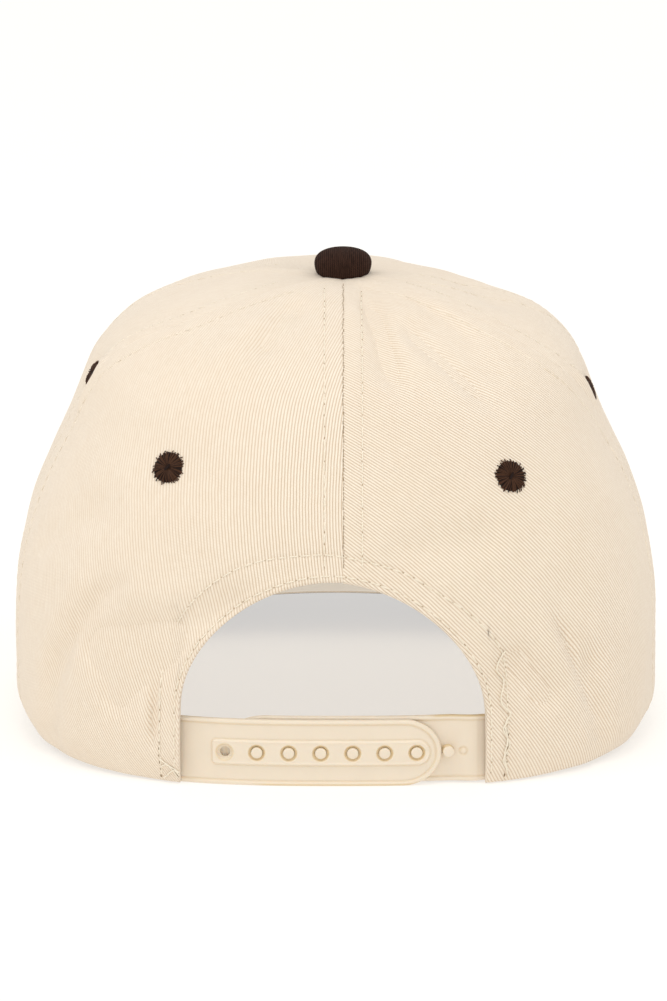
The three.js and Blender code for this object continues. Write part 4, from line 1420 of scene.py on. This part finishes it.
def outer_half_relief(x, z, depth):
    """Rim, raised plate with round corners, and the cone round each hole."""
    relief = raised_rim(depth)
    plate = in_plate(x, z)
    relief = relief + PLATE_RISE * smooth_step(plate, -0.05, 0.30)
    relief = relief + 0.12 * bell(plate - 0.5, 0.25) - 0.10 * bell(plate + 0.25, 0.2)
    for place in hole_x:
        away = np.hypot(x - place, z - HOLE_Z)
        relief = relief - CONE_SINK * np.clip((CONE_R - away) / (CONE_R - PEG_HOLE_R), 0, 1)
        relief = relief + CONE_LIP * bell(away - CONE_R - 0.2, 0.2)
    return relief


outer_half = moulded_strip(
    "strap_outer_half", (STRAP_X - STRAP_REACH, STRAP_X + STRAP_END_X), 0, STRAP_ROUND,
    lambda x: np.full_like(x, STRAP_INSET), outer_half_relief, outer_half_painted_shade, 330, 110,
    [(place, HOLE_Z, PEG_HOLE_R if k else OPEN_HOLE_R) for k, place in enumerate(hole_x)]
)
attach(outer_half, "root")
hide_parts("strap_with_holes")

# Snap strap, inner half. The same plastic, sewn into the right strap end. Its row of pegs stands
# through the holes of the outer half, and the last peg is free beside the outer half's round end.
INNER_END_X = -34.0
INNER_ROUND = 14.0
INNER_RAISE = 0.6
INNER_JOG = (33.0, 43.0)
INNER_GAP = 0.3
MARK_X = 38.6
MARK_Z = 10.0
MARK_R = 1.15
MOULD_LINE_X = 42.6


def inner_inset(x):
    """The inner half runs behind the outer one, and comes forward past its end."""
    start, end = INNER_JOG
    behind = (STRAP_THICK + INNER_GAP) * (1 - smooth_step(x, STRAP_X + start, STRAP_X + end))
    return STRAP_INSET + behind


def inner_half_relief(x, z, depth):
    """Rim where it isn't covered, a small moulded ring, and a faint mould line across."""
    mark = np.hypot(x - (STRAP_X + MARK_X), z - MARK_Z)
    rim = raised_rim(depth) * smooth_step(x, 5, 15)
    return rim - 0.30 * bell(mark - MARK_R, 0.2) + 0.10 * bell(x - (STRAP_X + MOULD_LINE_X), 0.3)


def inner_half_painted_shade(x, z, depth):
    """Painted shade in the groove beside the rim, in the moulded ring and along the upper edge, and a painted
    shadow beside the free peg.
    """
    mark = np.hypot(x - (STRAP_X + MARK_X), z - MARK_Z)
    painted_shade = rim_painted_shade(depth) + 0.6 * bell(mark - MARK_R, 0.3)
    above = (1 - smooth_step(depth, 0.25, 0.6)) * (z > HOLE_Z) * smooth_step(x, 27, 31)
    peg_shadow = bell(x - free_peg_x + 1.7, 0.45) * bell(z - HOLE_Z - 0.9, 0.8)
    return np.maximum(np.maximum(painted_shade, above), peg_shadow)


inner_half = moulded_strip(
    "strap_inner_half", (STRAP_X + STRAP_REACH, STRAP_X + INNER_END_X), INNER_RAISE, INNER_ROUND, inner_inset,
    inner_half_relief, inner_half_painted_shade, 200, 64, []
)

# A peg's rings: radius, how far each stands out of the strap's face, and how much painted shade it takes down
# in its hole
PEG_PROFILE = np.array([
    (1.77, -2.6, 1), (1.77, -0.85, 1), (1.70, -0.75, 1), (1.70, 0.25, 0.5), (1.66, 0.36, 0.3),
    (1.50, 0.44, 0), (0.9, 0.47, 0), (0.02, 0.48, 0),
])
PEG_POINTS = 33
pegs = []
turn = np.linspace(0, 2 * math.pi, PEG_POINTS)
radius, out, deep = PEG_PROFILE.T[..., None]
for x in (*hole_x[1:], free_peg_x):
    rings = strap_face(x + radius * np.cos(turn), HOLE_Z + radius * np.sin(turn), STRAP_INSET, out)
    pegs.append((
        rings.reshape(-1, 3), grid_faces(len(PEG_PROFILE), PEG_POINTS), np.zeros((rings[..., 0].size, 2))
    ))
points, faces, _ = gather(pegs)
peg_row = new_piece("strap_pegs", points, faces, cream_plastic)
mark_painted_shade(peg_row, np.tile(np.repeat(deep, PEG_POINTS), len(pegs)))
for piece in (inner_half, peg_row):
    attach(piece, "root")
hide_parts("strap_with_pegs")

# Studio. A wide pale floor and even, soft light from behind the camera and above, as for a
# catalogue picture.
FLOOR_HALF = 12.0
FLOOR_CORNERS = ((-1, -1), (1, -1), (1, 1), (-1, 1))
FLOOR_COLOUR = (0.43, 0.415, 0.385)
FLOOR_GLOW = (1, 0.985, 0.965)
GLOW_STRENGTH = 0.60
WORLD_STRENGTH = 0.80
floor_mesh = bpy.data.meshes.new("floor")
corners = [(x * FLOOR_HALF, y * FLOOR_HALF, 0) for x, y in FLOOR_CORNERS]
floor_mesh.from_pydata(corners, [], [(0, 1, 2, 3)])
floor = bpy.data.objects.new("floor", floor_mesh)
bpy.context.collection.objects.link(floor)
paper, _, paper_shader = new_material("white paper")
paper_shader.inputs["Base Color"].default_value = (*FLOOR_COLOUR, 1)
paper_shader.inputs["Roughness"].default_value = 0.9
paper_shader.inputs["Specular IOR Level"].default_value = 0.1
paper_shader.inputs["Emission Color"].default_value = (*FLOOR_GLOW, 1)
paper_shader.inputs["Emission Strength"].default_value = GLOW_STRENGTH
floor_mesh.materials.append(paper)

world = bpy.data.worlds.new("studio")
world.use_nodes = True
sky = world.node_tree.nodes["Background"]
sky.inputs["Color"].default_value = (1, 1, 1, 1)
sky.inputs["Strength"].default_value = WORLD_STRENGTH
bpy.context.scene.world = world

# Round lamps that face the cap: place in metres and power in watts
LAMP_SIZE = 1.2
LAMP_AIM = Vector((0, 0, 0.06))
LAMPS = (
    ("top lamp", (0.0, -0.6, 3.0), 17.0),
    ("top left lamp", (-1.6, -0.8, 2.5), 10.5),
    ("top right lamp", (1.6, -0.8, 2.5), 10.0),
    ("left lamp", (-2.9, -0.8, 0.6), 5.0),
    ("back lamp", (0.0, -3.2, 0.4), 14.0),
)
for name, place, power in LAMPS:
    lamp_data = bpy.data.lights.new(name, "AREA")
    lamp_data.shape = "DISK"
    lamp_data.size = LAMP_SIZE
    lamp_data.energy = power
    lamp = bpy.data.objects.new(name, lamp_data)
    lamp.location = place
    lamp.rotation_euler = (LAMP_AIM - Vector(place)).to_track_quat("-Z", "Y").to_euler()
    bpy.context.collection.objects.link(lamp)

bpy.context.scene.view_settings.view_transform = "Standard"
